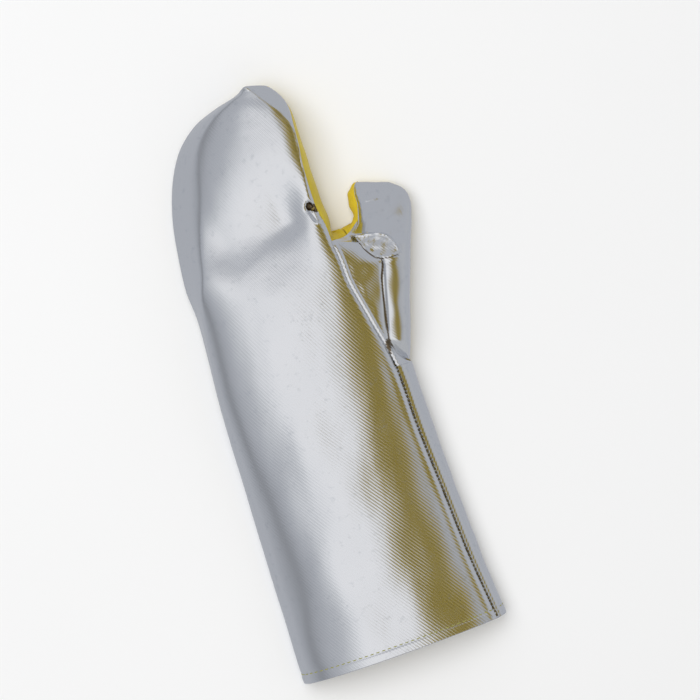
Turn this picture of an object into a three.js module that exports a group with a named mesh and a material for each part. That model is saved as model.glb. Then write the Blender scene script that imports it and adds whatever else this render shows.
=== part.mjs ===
// Aluminized mitten for the left hand, lying palm down on a flat surface.
//
// Five cloth panels are sewn along shared seams. Each panel is a curved sheet with a wall of
// its own, and neighbours keep a narrow gap at the seam. Units are millimetres. +Y runs from
// the hem of the cuff to the fingertips, +X points to the thumb and +Z up, and the panels'
// lowest face is at z = 0.
import * as THREE from 'three';

// Cloth and seams: walls of the silver and the yellow cloth, the gap that neighbours keep, the
// turned hem with its doubled wall, and how far the yellow edge lies under the silver web
const FOIL_CLOTH = 1.5;
const PALM_CLOTH = 2.0;
const SEAM_GAP = 0.7;
const HEM_FOLD = 7;
const HEM_CLOTH = 3;
const TUCK = 2.6;

// Where the glove's own axes cross the middle of its footprint
const FOOTPRINT_X = 10.9;
const FOOTPRINT_Y = 190.2;

// Lower edge of the tube, where the flat underside rolls up into the sides
const CORNER = 14;
const CORNER_SHARE = 0.3;
const SIDE_SEAM_ANGLE = 222;

// The hand and cuff are one tube. Each row is one section across it: the ends of its widest
// line, the height and place of the crown as a share of the width, the height of each side's
// widest line, how full each shoulder is (below 1 is square, above 1 is slack), the angle of
// the index-side seam above the thumb-side edge, the height of the underside, how steeply the
// little-finger flank climbs at most, and how far the thumb-side edge is bevelled down.
const TUBE = {
  columns: ['leftX', 'leftY', 'rightX', 'rightY', 'crownAt', 'crown', 'leftZ', 'rightZ',
    'leftSlack', 'rightSlack', 'seamAngle', 'floor', 'flank', 'bevel'],
  rows: [
    [-72.0, -1.8, 69.5, 1.8, 0.45, 33.0, 9, 9, 0.80, 0.85, 22, 0, 9, 0],
    [-71.4, 45.0, 65.8, 46.0, 0.45, 34.0, 9, 9, 0.80, 0.88, 25, 0, 9, 0],
    [-70.8, 90.0, 63.6, 91.0, 0.46, 34.5, 9, 9, 0.78, 0.88, 27, 0, 9, 0],
    [-69.8, 135.5, 62.0, 136.0, 0.49, 34.5, 9, 9, 0.66, 0.80, 30.6, 0, 9, 0],
    [-68.8, 181.0, 61.3, 178.5, 0.53, 35.0, 9, 9, 0.52, 0.68, 33.7, 0, 9, 0],
    [-66.6, 217.0, 61.0, 213.0, 0.57, 36.0, 9, 9, 0.44, 0.58, 47.0, 0, 7, 0],
    [-65.0, 247.0, 62.0, 245.0, 0.60, 37.0, 9, 9, 0.42, 0.55, 58.7, 0, 4.0, 0],
    [-66.2, 268.0, 44.0, 269.0, 0.72, 38.0, 9, 12, 0.42, 0.36, 43.2, 0, 2.0, 0],
    [-64.2, 291.0, 33.4, 291.0, 0.80, 38.5, 9, 18, 0.50, 0.18, 10.2, 0, 1.45, 0.4],
    [-60.0, 317.0, 32.4, 316.0, 0.84, 38.8, 9, 20, 0.70, 0.08, 2, 0, 1.2, 1.1],
    [-52.2, 340.0, 34.2, 335.0, 0.85, 38.8, 9, 20, 0.75, 0.08, 2, 0, 1.3, 1.1],
    [-41.5, 358.0, 35.0, 349.0, 0.84, 38.6, 9, 20, 0.70, 0.08, 2, 0, 1.6, 0.8],
    [-27.0, 370.3, 35.6, 360.0, 0.79, 38.3, 9, 17, 0.55, 0.34, 2, 0, 2.0, 0.3],
    [-11.0, 376.6, 34.0, 368.0, 0.70, 37.8, 9, 14.5, 0.45, 0.50, 2, 0.6, 2.6, 0],
    [2.5, 379.9, 30.6, 374.6, 0.60, 37.2, 9.2, 12, 0.30, 0.60, 2, 2.4, 4, 0],
    [10.6, 381.7, 26.6, 379.0, 0.52, 36.6, 9.4, 10, 0.20, 0.80, 2, 5.2, 12, 0],
    [12.0, 382.0, 25.4, 379.6, 0.50, 9.7, 9.4, 9.4, 1.00, 1.00, 2, 9.1, 9, 0],
  ],
};

// Places in the tube's rows: the wrist seam, the end of the index seam at the web, the palm's
// own rows at the cleft, at the end of the web and where they are even with the tube's again,
// the end of the tuck under the web, and the end of the turned hem
const WRIST = 4;
const CROTCH = 7;
const PALM_CLEFT = 7.5;
const PALM_CROTCH = 8;
const PALM_EVEN = 11;
const TUCK_END = 10;
const TIP = TUBE.rows.length - 1;
const HEM_END = HEM_FOLD / (TUBE.rows[1][1] - TUBE.rows[0][1]);
const HEM_STEP = 0.015;

// The thumb stands on axes of its own, turned towards +X about the point where the index
// seam meets the wrist seam. Across is measured from that point's line, along from the point.
const THUMB_X = 52.1;
const THUMB_Y = 181.6;
const THUMB_LEAN = THREE.MathUtils.degToRad(18);
const THUMB_SLACK = 0.4;
const THUMB_CORNER = 6;
const THUMB_CORNER_SHARE = 0.3;
const THUMB_SEAM_ANGLE = -42;

// Sections of the thumb: place along its axis, left and right edge, where its top lies
// across, the heights of left edge, top, right edge and underside, the angle at which the
// web or the silver edge joins the dome, and how far the web follows the dome.
const THUMB = {
  columns: ['along', 'left', 'right', 'topAt', 'leftZ', 'top', 'rightZ', 'floor',
    'joinAngle', 'follow'],
  rows: [
    [0, -3.0, 9.3, 0.5, 26.0, 26.2, 9.0, 0, 176, 0],
    [15, -5.6, 9.0, -0.8, 27.6, 27.9, 8.5, 0, 176, 0],
    [34, -8.2, 8.6, -2.0, 29.0, 29.4, 8.0, 0, 176, 0],
    [53, -10.2, 8.6, -3.0, 29.3, 30.0, 8.0, 0, 176, 0],
    [65, -10.0, 8.7, -3.0, 28.6, 29.8, 8.0, 0, 174, 0],
    [76, -17.0, 9.0, -5.5, 19.0, 27.5, 8.3, 0, 150, 0.35],
    [84, -25.5, 9.2, -8.0, 12.0, 24.5, 8.8, 0, 120, 0.8],
    [93, -26.0, 9.3, -9.0, 10.0, 21.0, 9.0, 0, 110, 1],
    [103, -26.5, 9.2, -10.0, 10.0, 17.5, 9.0, 0, 110, 1],
    [110, -28.3, 8.2, -11.0, 9.5, 15.0, 9.0, 0.3, 110, 1],
    [115, -28.6, 4.8, -12.5, 8.5, 12.5, 8.0, 0.8, 110, 1],
    [118, -27.4, -0.5, -14.0, 7.5, 9.8, 7.0, 3.0, 110, 1],
    [118.4, -26.6, -1.6, -14.5, 6.7, 7.0, 6.7, 6.4, 110, 1],
  ],
};

// Places in the thumb's rows: the top of the web on the index seam, the cleft, the end of the
// web on the thumb, and the end of the tuck; and where on the dome the silver ends
const WEB_TOP = 5;
const CLEFT_ROW = 6;
const NECK = 7;
const THUMB_TUCK_END = 8.5;
const THUMB_TIP = THUMB.rows.length - 1;
const SILVER_EDGE_ANGLE = 172;

// Bulge of the web between the index seam and the thumb
const WEB_BULGE = 0.6;

// Middle of the cleft between hand and thumb, where both palm panels meet the web
const CLEFT = { x: 46.5, y: 271, z: 16.5 };

// Seam between palm and thumb: straight along the underside from the wrist seam, then up the
// wall between hand and thumb to the cleft
const PALM_SEAM_X = 42;
const PALM_SEAM_FROM = 178.9;
const CLIMB = [
  { x: PALM_SEAM_X, y: 264, z: 0 },
  { x: 42.3, y: 272.5, z: 0.8 },
  { x: 43.5, y: 276.8, z: 5 },
  { x: 45.4, y: 275.2, z: 10 },
];

// How the palm panels roll up from the flat underside to their sewn edges, at places along
// the tube and the thumb. Where the flat ends, how far the roll swells at the bottom and at
// its side, all measured from the edge, and how high the side stands as a share of the edge.
const PALM_ROLL = {
  columns: ['place', 'footX', 'footY', 'lowX', 'lowY', 'sideX', 'sideY', 'rise'],
  rows: [
    [4, -12, 0, -8, 0, -4, 0, 1],
    [7, -12, -1, -8, 0, -4, 0, 1],
    [7.25, -11, -8.5, -5, -1, -3.5, 0.2, 1],
    [7.5, -16, 1.6, -9.5, 8, -4.2, 2.8, 0.98],
    [7.75, -14, 5, -4, 9.5, -1, 5, 0.65],
    [8, -11, 8, 3.5, 8, 3, 5, 0.58],
    [9, -12, 1, 8, 1, 8, 1, 0.55],
    [11, -12, 0, 3.2, 0, 3.2, 0, 0.55],
    [13, -10, 0, 1, 0, 1, 0, 0.55],
    [TIP, -4, 0, 0.6, 0, 0.6, 0, 0.55],
  ],
};
const THUMB_ROLL = {
  columns: ['place', 'footX', 'footY', 'lowX', 'lowY', 'sideX', 'sideY', 'rise'],
  rows: [
    [0, 3.5, 0, 2.3, 0, 1.2, 0, 1],
    [1, 8, -1, 5.3, -0.7, 2.7, -0.3, 1],
    [5, 8, -2.9, 5.3, -1.9, 2.7, -1, 1],
    [5.5, 9, -6, 6, 0, 3.5, 0.3, 1],
    [6, 10.5, 1, 5, 10, 1.2, 4.5, 0.75],
    [6.5, 9, 0, 2, 8, 0, 5, 0.6],
    [7, 8, -1, -3, 5, -3.5, 5, 0.55],
    [8, 8.6, -2.8, -8, 2.6, -8, 2.6, 0.55],
    [9, 8.6, -2.8, -7, 2.2, -7, 2.2, 0.55],
    [10, 7.6, -2.5, -3.5, 1.1, -3.5, 1.1, 0.55],
    [11, 6.5, -2.1, -2.4, 0.8, -2.4, 0.8, 0.55],
    [THUMB_TIP, 3.8, -1.2, 2.6, -0.8, 1.3, -0.4, 0.9],
  ],
};

// Steps in which each stretch of a row is measured before its points are spread evenly
const FINE_STEPS = 48;

// Dents and folds pressed into the back: a valley along the line from one point to another,
// with its half-width on each side, its depth, and how far it runs past the line's ends
const FOLDS = [
  { fromX: 29, fromY: 297, toX: 34, toY: 294, left: 3, right: 3, depth: 2.4, fade: 2.5 },
  { fromX: 30, fromY: 295, toX: 18, toY: 290, left: 8, right: 14, depth: 1.6, fade: 12 },
  { fromX: 4, fromY: 287, toX: -22, toY: 276, left: 13, right: 24, depth: 3.2, fade: 22 },
  { fromX: -46, fromY: 8, toX: -26, toY: 120, left: 7, right: 7, depth: 0.9, fade: 20 },
];

// Crease across the fingertip, beyond which the cloth drops as one facet: a point on it, the
// direction away from it, its height, the facet's fall, and the fall along the crease
const TIP_CREASE = { x: 23.4, y: 368.9, awayX: 0.789, awayY: 0.616, z: 36.6, fall: 1.5, run: 0.05 };

// Rounding of that crease and of the flank's, and the bevel's width
const CREASE_ROUND = 1.4;
const FLANK_ROUND = 6;
const BEVEL_WIDTH = 4.5;

const MATERIALS = {
  silver: { color: 0xc9ccd1, roughness: 0.28, metalness: 1 },
  yellow: { color: 0xd8c53a, roughness: 0.9, metalness: 0 },
};

const rad = THREE.MathUtils.degToRad;
const { lerp, smoothstep, clamp } = THREE.MathUtils;

// A table's row at a place between its rows, on a smooth curve through them that never dips
// below the surface the glove lies on
function rowAt(table, place) {
  const last = table.rows.length - 1;
  const index = clamp(Math.floor(place), 0, last - 1);
  const f = place - index;
  const row = {};
  table.columns.forEach((name, column) => {
    const value = (step) => table.rows[clamp(index + step, 0, last)][column];
    const rise = value(1) - value(0);
    const slopeIn = (value(1) - value(-1)) / 2;
    const slopeOut = (value(2) - value(0)) / 2;
    const bend = slopeIn + slopeOut - 2 * rise;
    row[name] = value(0) + f * (slopeIn + f * (rise - slopeIn - bend * (1 - f)));
  });
  row.floor = Math.max(row.floor, 0);
  return row;
}

// Depth of all folds together at a place seen from above
function foldDepth(x, y) {
  let depth = 0;
  for (const fold of FOLDS) {
    const runX = fold.toX - fold.fromX;
    const runY = fold.toY - fold.fromY;
    const run = Math.hypot(runX, runY);
    const along = ((x - fold.fromX) * runX + (y - fold.fromY) * runY) / run;
    const across = ((x - fold.fromX) * runY - (y - fold.fromY) * runX) / run;
    const past = Math.max(-along, along - run, 0);
    const width = across > 0 ? fold.right : fold.left;
    depth += fold.depth * Math.exp(-((across / width) ** 2) - (past / fold.fade) ** 2);
  }
  return depth;
}

// Lower of two heights, with the corner between them rounded over a blend's width
function lower(first, second, blend) {
  const share = clamp(0.5 + (0.5 * (second - first)) / blend, 0, 1);
  return lerp(second, first, share) - blend * share * (1 - share);
}

// Height of the facet beyond the fingertip's crease
function facetHeight(x, y) {
  const { awayX, awayY } = TIP_CREASE;
  const away = (x - TIP_CREASE.x) * awayX + (y - TIP_CREASE.y) * awayY;
  const along = (y - TIP_CREASE.y) * awayX - (x - TIP_CREASE.x) * awayY;
  return TIP_CREASE.z - TIP_CREASE.fall * away - TIP_CREASE.run * along;
}

// Point of the tube at an angle round its section: 0 is the thumb-side edge, 90 the crown,
// 180 the little-finger edge, and -90 and 270 are the ends of the flat underside
function tubePoint(place, angle) {
  const row = rowAt(TUBE, place);
  const width = Math.hypot(row.rightX - row.leftX, row.rightY - row.leftY);
  const corner = Math.min(CORNER / width, CORNER_SHARE);
  const c = Math.cos(rad(angle));
  const s = Math.sin(rad(angle));
  let share;
  let z;
  if (angle < 0) {
    share = 1 - corner * (1 - c);
    z = row.floor + (row.rightZ - row.floor) * (1 + s);
  } else if (angle > 180) {
    share = corner * (1 + c);
    z = row.floor + (row.leftZ - row.floor) * (1 + s);
  } else {
    const right = angle <= 90;
    const side = right ? row.rightZ : row.leftZ;
    const slack = right ? row.rightSlack : row.leftSlack;
    share = row.crownAt + c * (right ? 1 - row.crownAt : row.crownAt);
    z = side + (row.crown - side) * Math.max(s, 0) ** slack;
  }
  const x = lerp(row.leftX, row.rightX, share);
  const y = lerp(row.leftY, row.rightY, share);
  if (angle > 0 && angle < 180) {
    const flank = row.leftZ + FLANK_ROUND / 4 + row.flank * (x - row.leftX);
    const bevel = row.crown - row.bevel * (1 - (row.rightX - x) / BEVEL_WIDTH);
    const edges = Math.min(facetHeight(x, y), bevel);
    const cut = lower(lower(z, flank, FLANK_ROUND), edges, CREASE_ROUND);
    z = Math.max(cut, angle <= 90 ? row.rightZ : row.leftZ) - foldDepth(x, y) * s * s;
  }
  return new THREE.Vector3(x, y, z);
}

// Point of the index-side seam
function indexSeam(place) {
  return tubePoint(place, rowAt(TUBE, place).seamAngle);
}

// Point given on the thumb's own axes
function onThumb(across, along, z) {
  const c = Math.cos(THUMB_LEAN);
  const s = Math.sin(THUMB_LEAN);
  return new THREE.Vector3(THUMB_X + across * c + along * s, THUMB_Y - across * s + along * c, z);
}

// Point of the thumb's dome at an angle: 0 is the outer edge, 90 the top, 180 the inner edge
// and -90 the start of the flat underside
function thumbPoint(place, angle) {
  const row = rowAt(THUMB, place);
  const c = Math.cos(rad(angle));
  const s = Math.sin(rad(angle));
  if (angle < 0) {
    const corner = Math.min(THUMB_CORNER, THUMB_CORNER_SHARE * (row.right - row.left));
    const z = row.floor + (row.rightZ - row.floor) * (1 + s);
    return onThumb(row.right - corner * (1 - c), row.along, z);
  }
  const right = angle <= 90;
  const edge = right ? row.right : row.left;
  const edgeZ = right ? row.rightZ : row.leftZ;
  const z = edgeZ + (row.top - edgeZ) * Math.max(s, 0) ** THUMB_SLACK;
  return onThumb(row.topAt + Math.abs(c) * (edge - row.topAt), row.along, z);
}

// Inner edge of the silver thumb: up the index seam, over the web's free edge and along the
// thumb's inner side to its tip
function silverEdge(place) {
  if (place <= WEB_TOP) return indexSeam(lerp(WRIST, CROTCH, place / WEB_TOP));
  if (place >= NECK) return thumbPoint(place, SILVER_EDGE_ANGLE);
  const freeEdge = new THREE.CatmullRomCurve3([
    indexSeam(CROTCH),
    new THREE.Vector3(CLEFT.x, CLEFT.y, CLEFT.z),
    thumbPoint(NECK, SILVER_EDGE_ANGLE),
  ]);
  return freeEdge.getPoint((place - WEB_TOP) / (NECK - WEB_TOP));
}

// Where a share of the way across falls among stretches that end at the given shares: which
// stretch it is in, and how far along that stretch
function stretchOf(share, ends) {
  const index = Math.min(ends.findIndex((end) => share <= end + 1e-9) - 1, ends.length - 2);
  const stretch = Math.max(index, 0);
  return [stretch, (share - ends[stretch]) / (ends[stretch + 1] - ends[stretch])];
}

// Flat stretch of an underside, and the roll from its end up to a sewn edge
function underside(start, edge, floor, roll, stretch, share) {
  const foot = new THREE.Vector3(edge.x + roll.footX, edge.y + roll.footY, floor);
  if (stretch === 0) return start.clone().lerp(foot, share);
  const low = new THREE.Vector3(edge.x + roll.lowX, edge.y + roll.lowY, floor);
  const height = lerp(floor, edge.z, roll.rise);
  const side = new THREE.Vector3(edge.x + roll.sideX, edge.y + roll.sideY, height);
  return new THREE.CubicBezierCurve3(foot, low, side, edge).getPoint(share);
}

// Roll at a place, between the rows of a table whose first column is the place
function rollAt({ columns, rows }, place) {
  const found = rows.findIndex((row) => row[0] >= place);
  const after = clamp(found < 0 ? rows.length - 1 : found, 1, rows.length - 1);
  const [from, to] = [rows[after - 1], rows[after]];
  const share = smoothstep(place, from[0], to[0]);
  return Object.fromEntries(columns.map((name, k) => [name, lerp(from[k], to[k], share)]));
}

// Flat part of the seam between palm and thumb, and its climb to the cleft, at a share of each
function flatSeam(share) {
  return new THREE.Vector3(PALM_SEAM_X, lerp(PALM_SEAM_FROM, CLIMB[0].y, share), 0);
}

function climbSeam(share) {
  const points = [...CLIMB, { ...CLEFT, z: CLEFT.z - TUCK }];
  const curve = new THREE.CatmullRomCurve3(points.map(({ x, y, z }) => new THREE.Vector3(x, y, z)));
  const point = curve.getPoint(share);
  point.z = Math.max(point.z, 0);
  return point;
}

// The five panels' surfaces. Each takes a share across, from the thumb side over the top or
// from the little-finger side under the hand, and a place in the table's rows.
function backPanel(across, place) {
  return tubePoint(place, lerp(rowAt(TUBE, place).seamAngle, SIDE_SEAM_ANGLE, across));
}

const CUFF_STRETCHES = [0, 0.12, 0.6, 0.8, 1];

function cuffUnderside(across, place) {
  const [stretch, share] = stretchOf(across, CUFF_STRETCHES);
  if (stretch === 0) return tubePoint(place, lerp(SIDE_SEAM_ANGLE, 270, share));
  if (stretch === 1) return tubePoint(place, 270).lerp(tubePoint(place, -90), share);
  if (stretch === 2) return tubePoint(place, lerp(-90, 0, share));
  return tubePoint(place, lerp(0, rowAt(TUBE, place).seamAngle, share));
}

// Edge of the palm on the thumb side: the palm seam, the web's free edge, then the index seam
// to the tip. The rows reach the index seam a little late, and are even again further up.
function palmEdge(place) {
  if (place <= CROTCH) return flatSeam((place - WRIST) / (CROTCH - WRIST));
  if (place <= PALM_CLEFT) return climbSeam((place - CROTCH) / (PALM_CLEFT - CROTCH));
  let point;
  if (place <= PALM_CROTCH) {
    const share = (place - PALM_CLEFT) / (PALM_CROTCH - PALM_CLEFT);
    point = silverEdge(lerp(CLEFT_ROW, WEB_TOP, share));
  } else {
    const late = (PALM_CROTCH - CROTCH) * (1 - smoothstep(place, PALM_CROTCH, PALM_EVEN));
    point = indexSeam(place - late);
  }
  point.z -= TUCK * (1 - smoothstep(place, PALM_CROTCH, TUCK_END));
  return point;
}

const PALM_STRETCHES = [0, 0.12, 0.7, 1];

function palmPanel(across, place) {
  const [stretch, share] = stretchOf(across, PALM_STRETCHES);
  if (stretch === 0) return tubePoint(place, lerp(SIDE_SEAM_ANGLE, 270, share));
  const roll = rollAt(PALM_ROLL, place);
  const { floor } = rowAt(TUBE, place);
  return underside(tubePoint(place, 270), palmEdge(place), floor, roll, stretch - 1, share);
}

// The silver thumb: from its outer seam over the dome to the crease, then up the web to the
// index seam. It starts on the wrist seam as the tube's own side.
const THUMB_STRETCHES = [0, 0.5, 1];

function thumbBack(across, place) {
  const [stretch, share] = stretchOf(across, THUMB_STRETCHES);
  const { joinAngle, follow } = rowAt(THUMB, place);
  let point;
  if (stretch === 0) {
    point = thumbPoint(place, lerp(THUMB_SEAM_ANGLE, joinAngle, share));
  } else {
    const dome = thumbPoint(place, lerp(joinAngle, SILVER_EDGE_ANGLE, share));
    const weight = clamp(follow, 0, 1) * (1 - share) ** clamp(1 - follow, 0, 1);
    point = thumbPoint(place, joinAngle).lerp(silverEdge(place), share);
    point.z += WEB_BULGE * 4 * share * (1 - share);
    point.lerp(dome, weight);
  }
  const wrist = tubePoint(WRIST, lerp(THUMB_SEAM_ANGLE, rowAt(TUBE, WRIST).seamAngle, across));
  return wrist.lerp(point, smoothstep(place, 0, 1));
}

const THUMB_PALM_STRETCHES = [0, 0.3, 0.7, 1];

function thumbPalm(across, place) {
  const [reversed, rest] = stretchOf(1 - across, THUMB_PALM_STRETCHES);
  const grown = smoothstep(place, 0, 1);
  const outer = (angle) => tubePoint(WRIST, angle).lerp(thumbPoint(place, angle), grown);
  if (reversed === 0) return outer(lerp(THUMB_SEAM_ANGLE, -90, rest));
  let edge;
  if (place <= WEB_TOP) {
    edge = flatSeam(place / WEB_TOP);
  } else if (place <= CLEFT_ROW) {
    edge = climbSeam((place - WEB_TOP) / (CLEFT_ROW - WEB_TOP));
  } else {
    edge = silverEdge(place);
    edge.z -= TUCK * (1 - smoothstep(place, CLEFT_ROW, THUMB_TUCK_END));
  }
  const roll = rollAt(THUMB_ROLL, place);
  const { floor } = rowAt(THUMB, place);
  return underside(outer(-90), edge, floor, roll, reversed - 1, rest);
}

// Places from the first to the last break, in the given number of even steps between breaks
function steps(breaks, counts) {
  const places = [breaks[0]];
  counts.forEach((count, k) => {
    for (let i = 1; i <= count; i += 1) places.push(lerp(breaks[k], breaks[k + 1], i / count));
  });
  return places;
}

// One row of a panel: points evenly spaced along each stretch, with half the seam gap left
// free at both ends, and the direction of the row at each
function rowPoints(surface, place, stretches, counts) {
  const points = [];
  counts.forEach((count, k) => {
    const from = stretches[k];
    const to = stretches[k + 1];
    const curve = Array.from({ length: FINE_STEPS + 1 }, (_, i) => (
      surface(lerp(from, to, i / FINE_STEPS), place)));
    const lengths = [0];
    for (let i = 1; i <= FINE_STEPS; i += 1) {
      lengths.push(lengths[i - 1] + curve[i].distanceTo(curve[i - 1]));
    }
    const total = lengths[FINE_STEPS];
    const start = k === 0 ? SEAM_GAP / 2 : 0;
    const end = total - (k === counts.length - 1 ? SEAM_GAP / 2 : 0);
    for (let i = k === 0 ? 0 : 1; i <= count; i += 1) {
      const goal = lerp(start, end, i / count);
      const found = lengths.findIndex((length) => length >= goal);
      const after = found < 0 ? FINE_STEPS : Math.max(found, 1);
      const heading = curve[after].clone().sub(curve[after - 1]);
      const share = (goal - lengths[after - 1]) / heading.length();
      points.push({ point: curve[after - 1].clone().addScaledVector(heading, share), heading });
    }
  });
  return points;
}

// A panel as one closed shell: its outer face on the surface, its inner face a wall's
// thickness behind it, and a rim round the four edges. At the square places its wall stands
// straight across the glove, so that panels on both sides of a cross seam meet face to face,
// and its last row faces along the given axis.
function shell(surface, { stretches, counts, places, thickness, square = [], axis }) {
  const rows = places.map((place) => rowPoints(surface, place, stretches, counts));
  const grid = rows.map((row) => row.map(({ point }) => point));
  const last = grid.length - 1;
  const width = grid[0].length - 1;
  const trimmed = (row, next) => row.map((point, i) => {
    const away = next[i].clone().sub(point);
    return point.clone().addScaledVector(away, SEAM_GAP / 2 / away.length());
  });
  grid[0] = trimmed(grid[0], grid[1]);
  grid[last] = trimmed(grid[last], grid[last - 1]);
  const outer = grid.flat();
  const inner = grid.flatMap((row, j) => row.map((point, i) => {
    const along = grid[Math.min(j + 1, last)][i].clone().sub(grid[Math.max(j - 1, 0)][i]);
    const normal = axis && j === last ? axis.clone() : along.cross(rows[j][i].heading);
    if (square.includes(places[j])) normal.y = 0;
    return point.clone().addScaledVector(normal.normalize(), -thickness(places[j]));
  }));
  const out = (i, j) => j * (width + 1) + i;
  const back = (i, j) => outer.length + out(i, j);
  const triangles = [];
  const face = (a, b, c, d) => triangles.push(a, b, c, a, c, d);
  for (let j = 0; j < last; j += 1) {
    for (let i = 0; i < width; i += 1) {
      face(out(i, j), out(i, j + 1), out(i + 1, j + 1), out(i + 1, j));
      face(back(i, j), back(i + 1, j), back(i + 1, j + 1), back(i, j + 1));
    }
    face(out(0, j + 1), out(0, j), back(0, j), back(0, j + 1));
    face(out(width, j), out(width, j + 1), back(width, j + 1), back(width, j));
  }
  for (let i = 0; i < width; i += 1) {
    face(out(i, 0), out(i + 1, 0), back(i + 1, 0), back(i, 0));
    face(out(i + 1, last), out(i, last), back(i, last), back(i + 1, last));
  }
  const positions = [...outer, ...inner].flatMap((point) => point.toArray());
  const geometry = new THREE.BufferGeometry();
  geometry.setAttribute('position', new THREE.Float32BufferAttribute(positions, 3));
  geometry.setIndex(triangles);
  geometry.computeVertexNormals();
  return geometry;
}

function panel(name, finish, geometry) {
  const mesh = new THREE.Mesh(geometry, new THREE.MeshStandardMaterial(MATERIALS[finish]));
  mesh.name = name;
  return mesh;
}

const foil = () => FOIL_CLOTH;
const palmCloth = () => PALM_CLOTH;
const HAND_AXIS = new THREE.Vector3(0, 1, 0);
const THUMB_AXIS = new THREE.Vector3(Math.sin(THUMB_LEAN), Math.cos(THUMB_LEAN), 0);
const hemmed = (place) => (place < HEM_END + HEM_STEP / 2 ? HEM_CLOTH : FOIL_CLOTH);

const glove = new THREE.Group();
glove.add(
  panel('back_panel', 'silver', shell(backPanel, {
    stretches: [0, 1],
    counts: [22],
    places: steps([0, HEM_END, HEM_END + HEM_STEP, WRIST, CROTCH, TIP], [1, 1, 6, 8, 22]),
    thickness: hemmed,
    axis: HAND_AXIS,
  })),
  panel('cuff_underside', 'silver', shell(cuffUnderside, {
    stretches: CUFF_STRETCHES,
    counts: [3, 4, 5, 4],
    places: steps([0, HEM_END, HEM_END + HEM_STEP, WRIST], [1, 1, 6]),
    thickness: hemmed,
    square: [WRIST],
  })),
  panel('palm_panel', 'yellow', shell(palmPanel, {
    stretches: PALM_STRETCHES,
    counts: [3, 6, 6],
    places: steps([WRIST, CROTCH, PALM_CLEFT, PALM_CROTCH, TIP], [6, 5, 4, 18]),
    thickness: palmCloth,
    square: [WRIST],
    axis: HAND_AXIS,
  })),
  panel('thumb_back', 'silver', shell(thumbBack, {
    stretches: THUMB_STRETCHES,
    counts: [10, 7],
    places: steps([0, WEB_TOP, NECK, THUMB_TIP], [9, 6, 10]),
    thickness: foil,
    square: [0],
    axis: THUMB_AXIS,
  })),
  panel('thumb_palm', 'yellow', shell(thumbPalm, {
    stretches: THUMB_PALM_STRETCHES.map((end) => 1 - end).reverse(),
    counts: [6, 4, 3],
    places: steps([0, WEB_TOP, CLEFT_ROW, NECK, THUMB_TIP], [7, 5, 5, 10]),
    thickness: palmCloth,
    square: [0],
    axis: THUMB_AXIS,
  })),
);
glove.position.set(-FOOTPRINT_X, -FOOTPRINT_Y, 0);

export default glove;
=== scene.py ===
"""Aluminized mitten for the left hand, lying palm down on a pale floor.

Shapes are worked out in millimetres on the glove's own axes, as in the part's source: +Y runs
from the hem of the cuff to the fingertips, +X points to the thumb and +Z up. A mesh gets its
place in metres, in the CAD frame, when it is made.
"""
import logging
import math
from abc import ABC, abstractmethod
from collections.abc import Callable, Sequence
from dataclasses import dataclass, field
from enum import Enum
from typing import ClassVar

import bpy
import numpy as np
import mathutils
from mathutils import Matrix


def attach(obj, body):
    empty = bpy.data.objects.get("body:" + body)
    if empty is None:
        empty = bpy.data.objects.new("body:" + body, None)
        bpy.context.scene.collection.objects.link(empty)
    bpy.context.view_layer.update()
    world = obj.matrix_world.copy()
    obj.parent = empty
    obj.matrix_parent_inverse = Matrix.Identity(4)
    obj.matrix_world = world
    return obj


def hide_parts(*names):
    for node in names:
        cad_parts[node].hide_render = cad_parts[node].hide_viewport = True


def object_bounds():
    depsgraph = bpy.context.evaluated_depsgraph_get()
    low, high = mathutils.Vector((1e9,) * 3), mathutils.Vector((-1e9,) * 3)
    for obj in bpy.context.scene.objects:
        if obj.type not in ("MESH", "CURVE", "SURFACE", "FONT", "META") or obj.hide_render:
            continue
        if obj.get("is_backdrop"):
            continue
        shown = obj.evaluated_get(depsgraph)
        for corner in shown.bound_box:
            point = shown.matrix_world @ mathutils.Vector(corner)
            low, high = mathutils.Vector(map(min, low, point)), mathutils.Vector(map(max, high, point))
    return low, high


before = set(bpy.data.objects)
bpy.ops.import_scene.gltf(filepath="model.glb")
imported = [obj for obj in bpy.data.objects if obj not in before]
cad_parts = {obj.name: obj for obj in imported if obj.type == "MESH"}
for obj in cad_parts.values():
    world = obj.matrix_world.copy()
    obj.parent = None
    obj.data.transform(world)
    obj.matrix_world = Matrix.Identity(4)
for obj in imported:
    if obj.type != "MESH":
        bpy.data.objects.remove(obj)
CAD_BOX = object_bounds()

Array = np.ndarray
Surface = Callable[[Array, Array], Array]
Spot = tuple[float, float]
Span = tuple[float, float]
Colour = tuple[float, float, float]
Vector = tuple[float, float, float]
log = logging.getLogger("mitten")

MM = 0.001
BODY = "root"

# Where the glove's own axes cross the middle of its footprint
FOOTPRINT = np.array([10.9, 190.2, 0.0])

# Walls of the silver and the yellow cloth, of the yellow one in the thumb's tip, the turned
# hem, the gap that sewn neighbours keep, and how far the yellow edge lies under the silver web
FOIL_CLOTH = 1.5
PALM_CLOTH = 2.0
TIP_CLOTH = 0.7
HEM_CLOTH = 3.0
HEM_FOLD = 7.0
SEAM_GAP = 0.3
TUCK = 2.0

# Distance of the hem's stitches from its edge, pitch of the stitches in the seams, how much
# the seams pucker with them, and how far ahead of a stitch its direction is read
HEM_STITCHES = 6.2
SEAM_PITCH = 2.9
SEAM_PUCKER = 0.35
LOOK_AHEAD = 0.8

# Height below which a point counts as lying on the floor, heights over which cloth comes off
# it, the most of a row's spacing that its trimmed end may take, the steps in which the spacing
# of rows is measured, and the angle in degrees above which an edge is drawn sharp
ON_FLOOR = 0.05
OFF_FLOOR = (0.5, 5.0)
TRIM_SHARE = 0.4
ROW_STEPS = 200
SHARP_EDGE = 55.0

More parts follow.
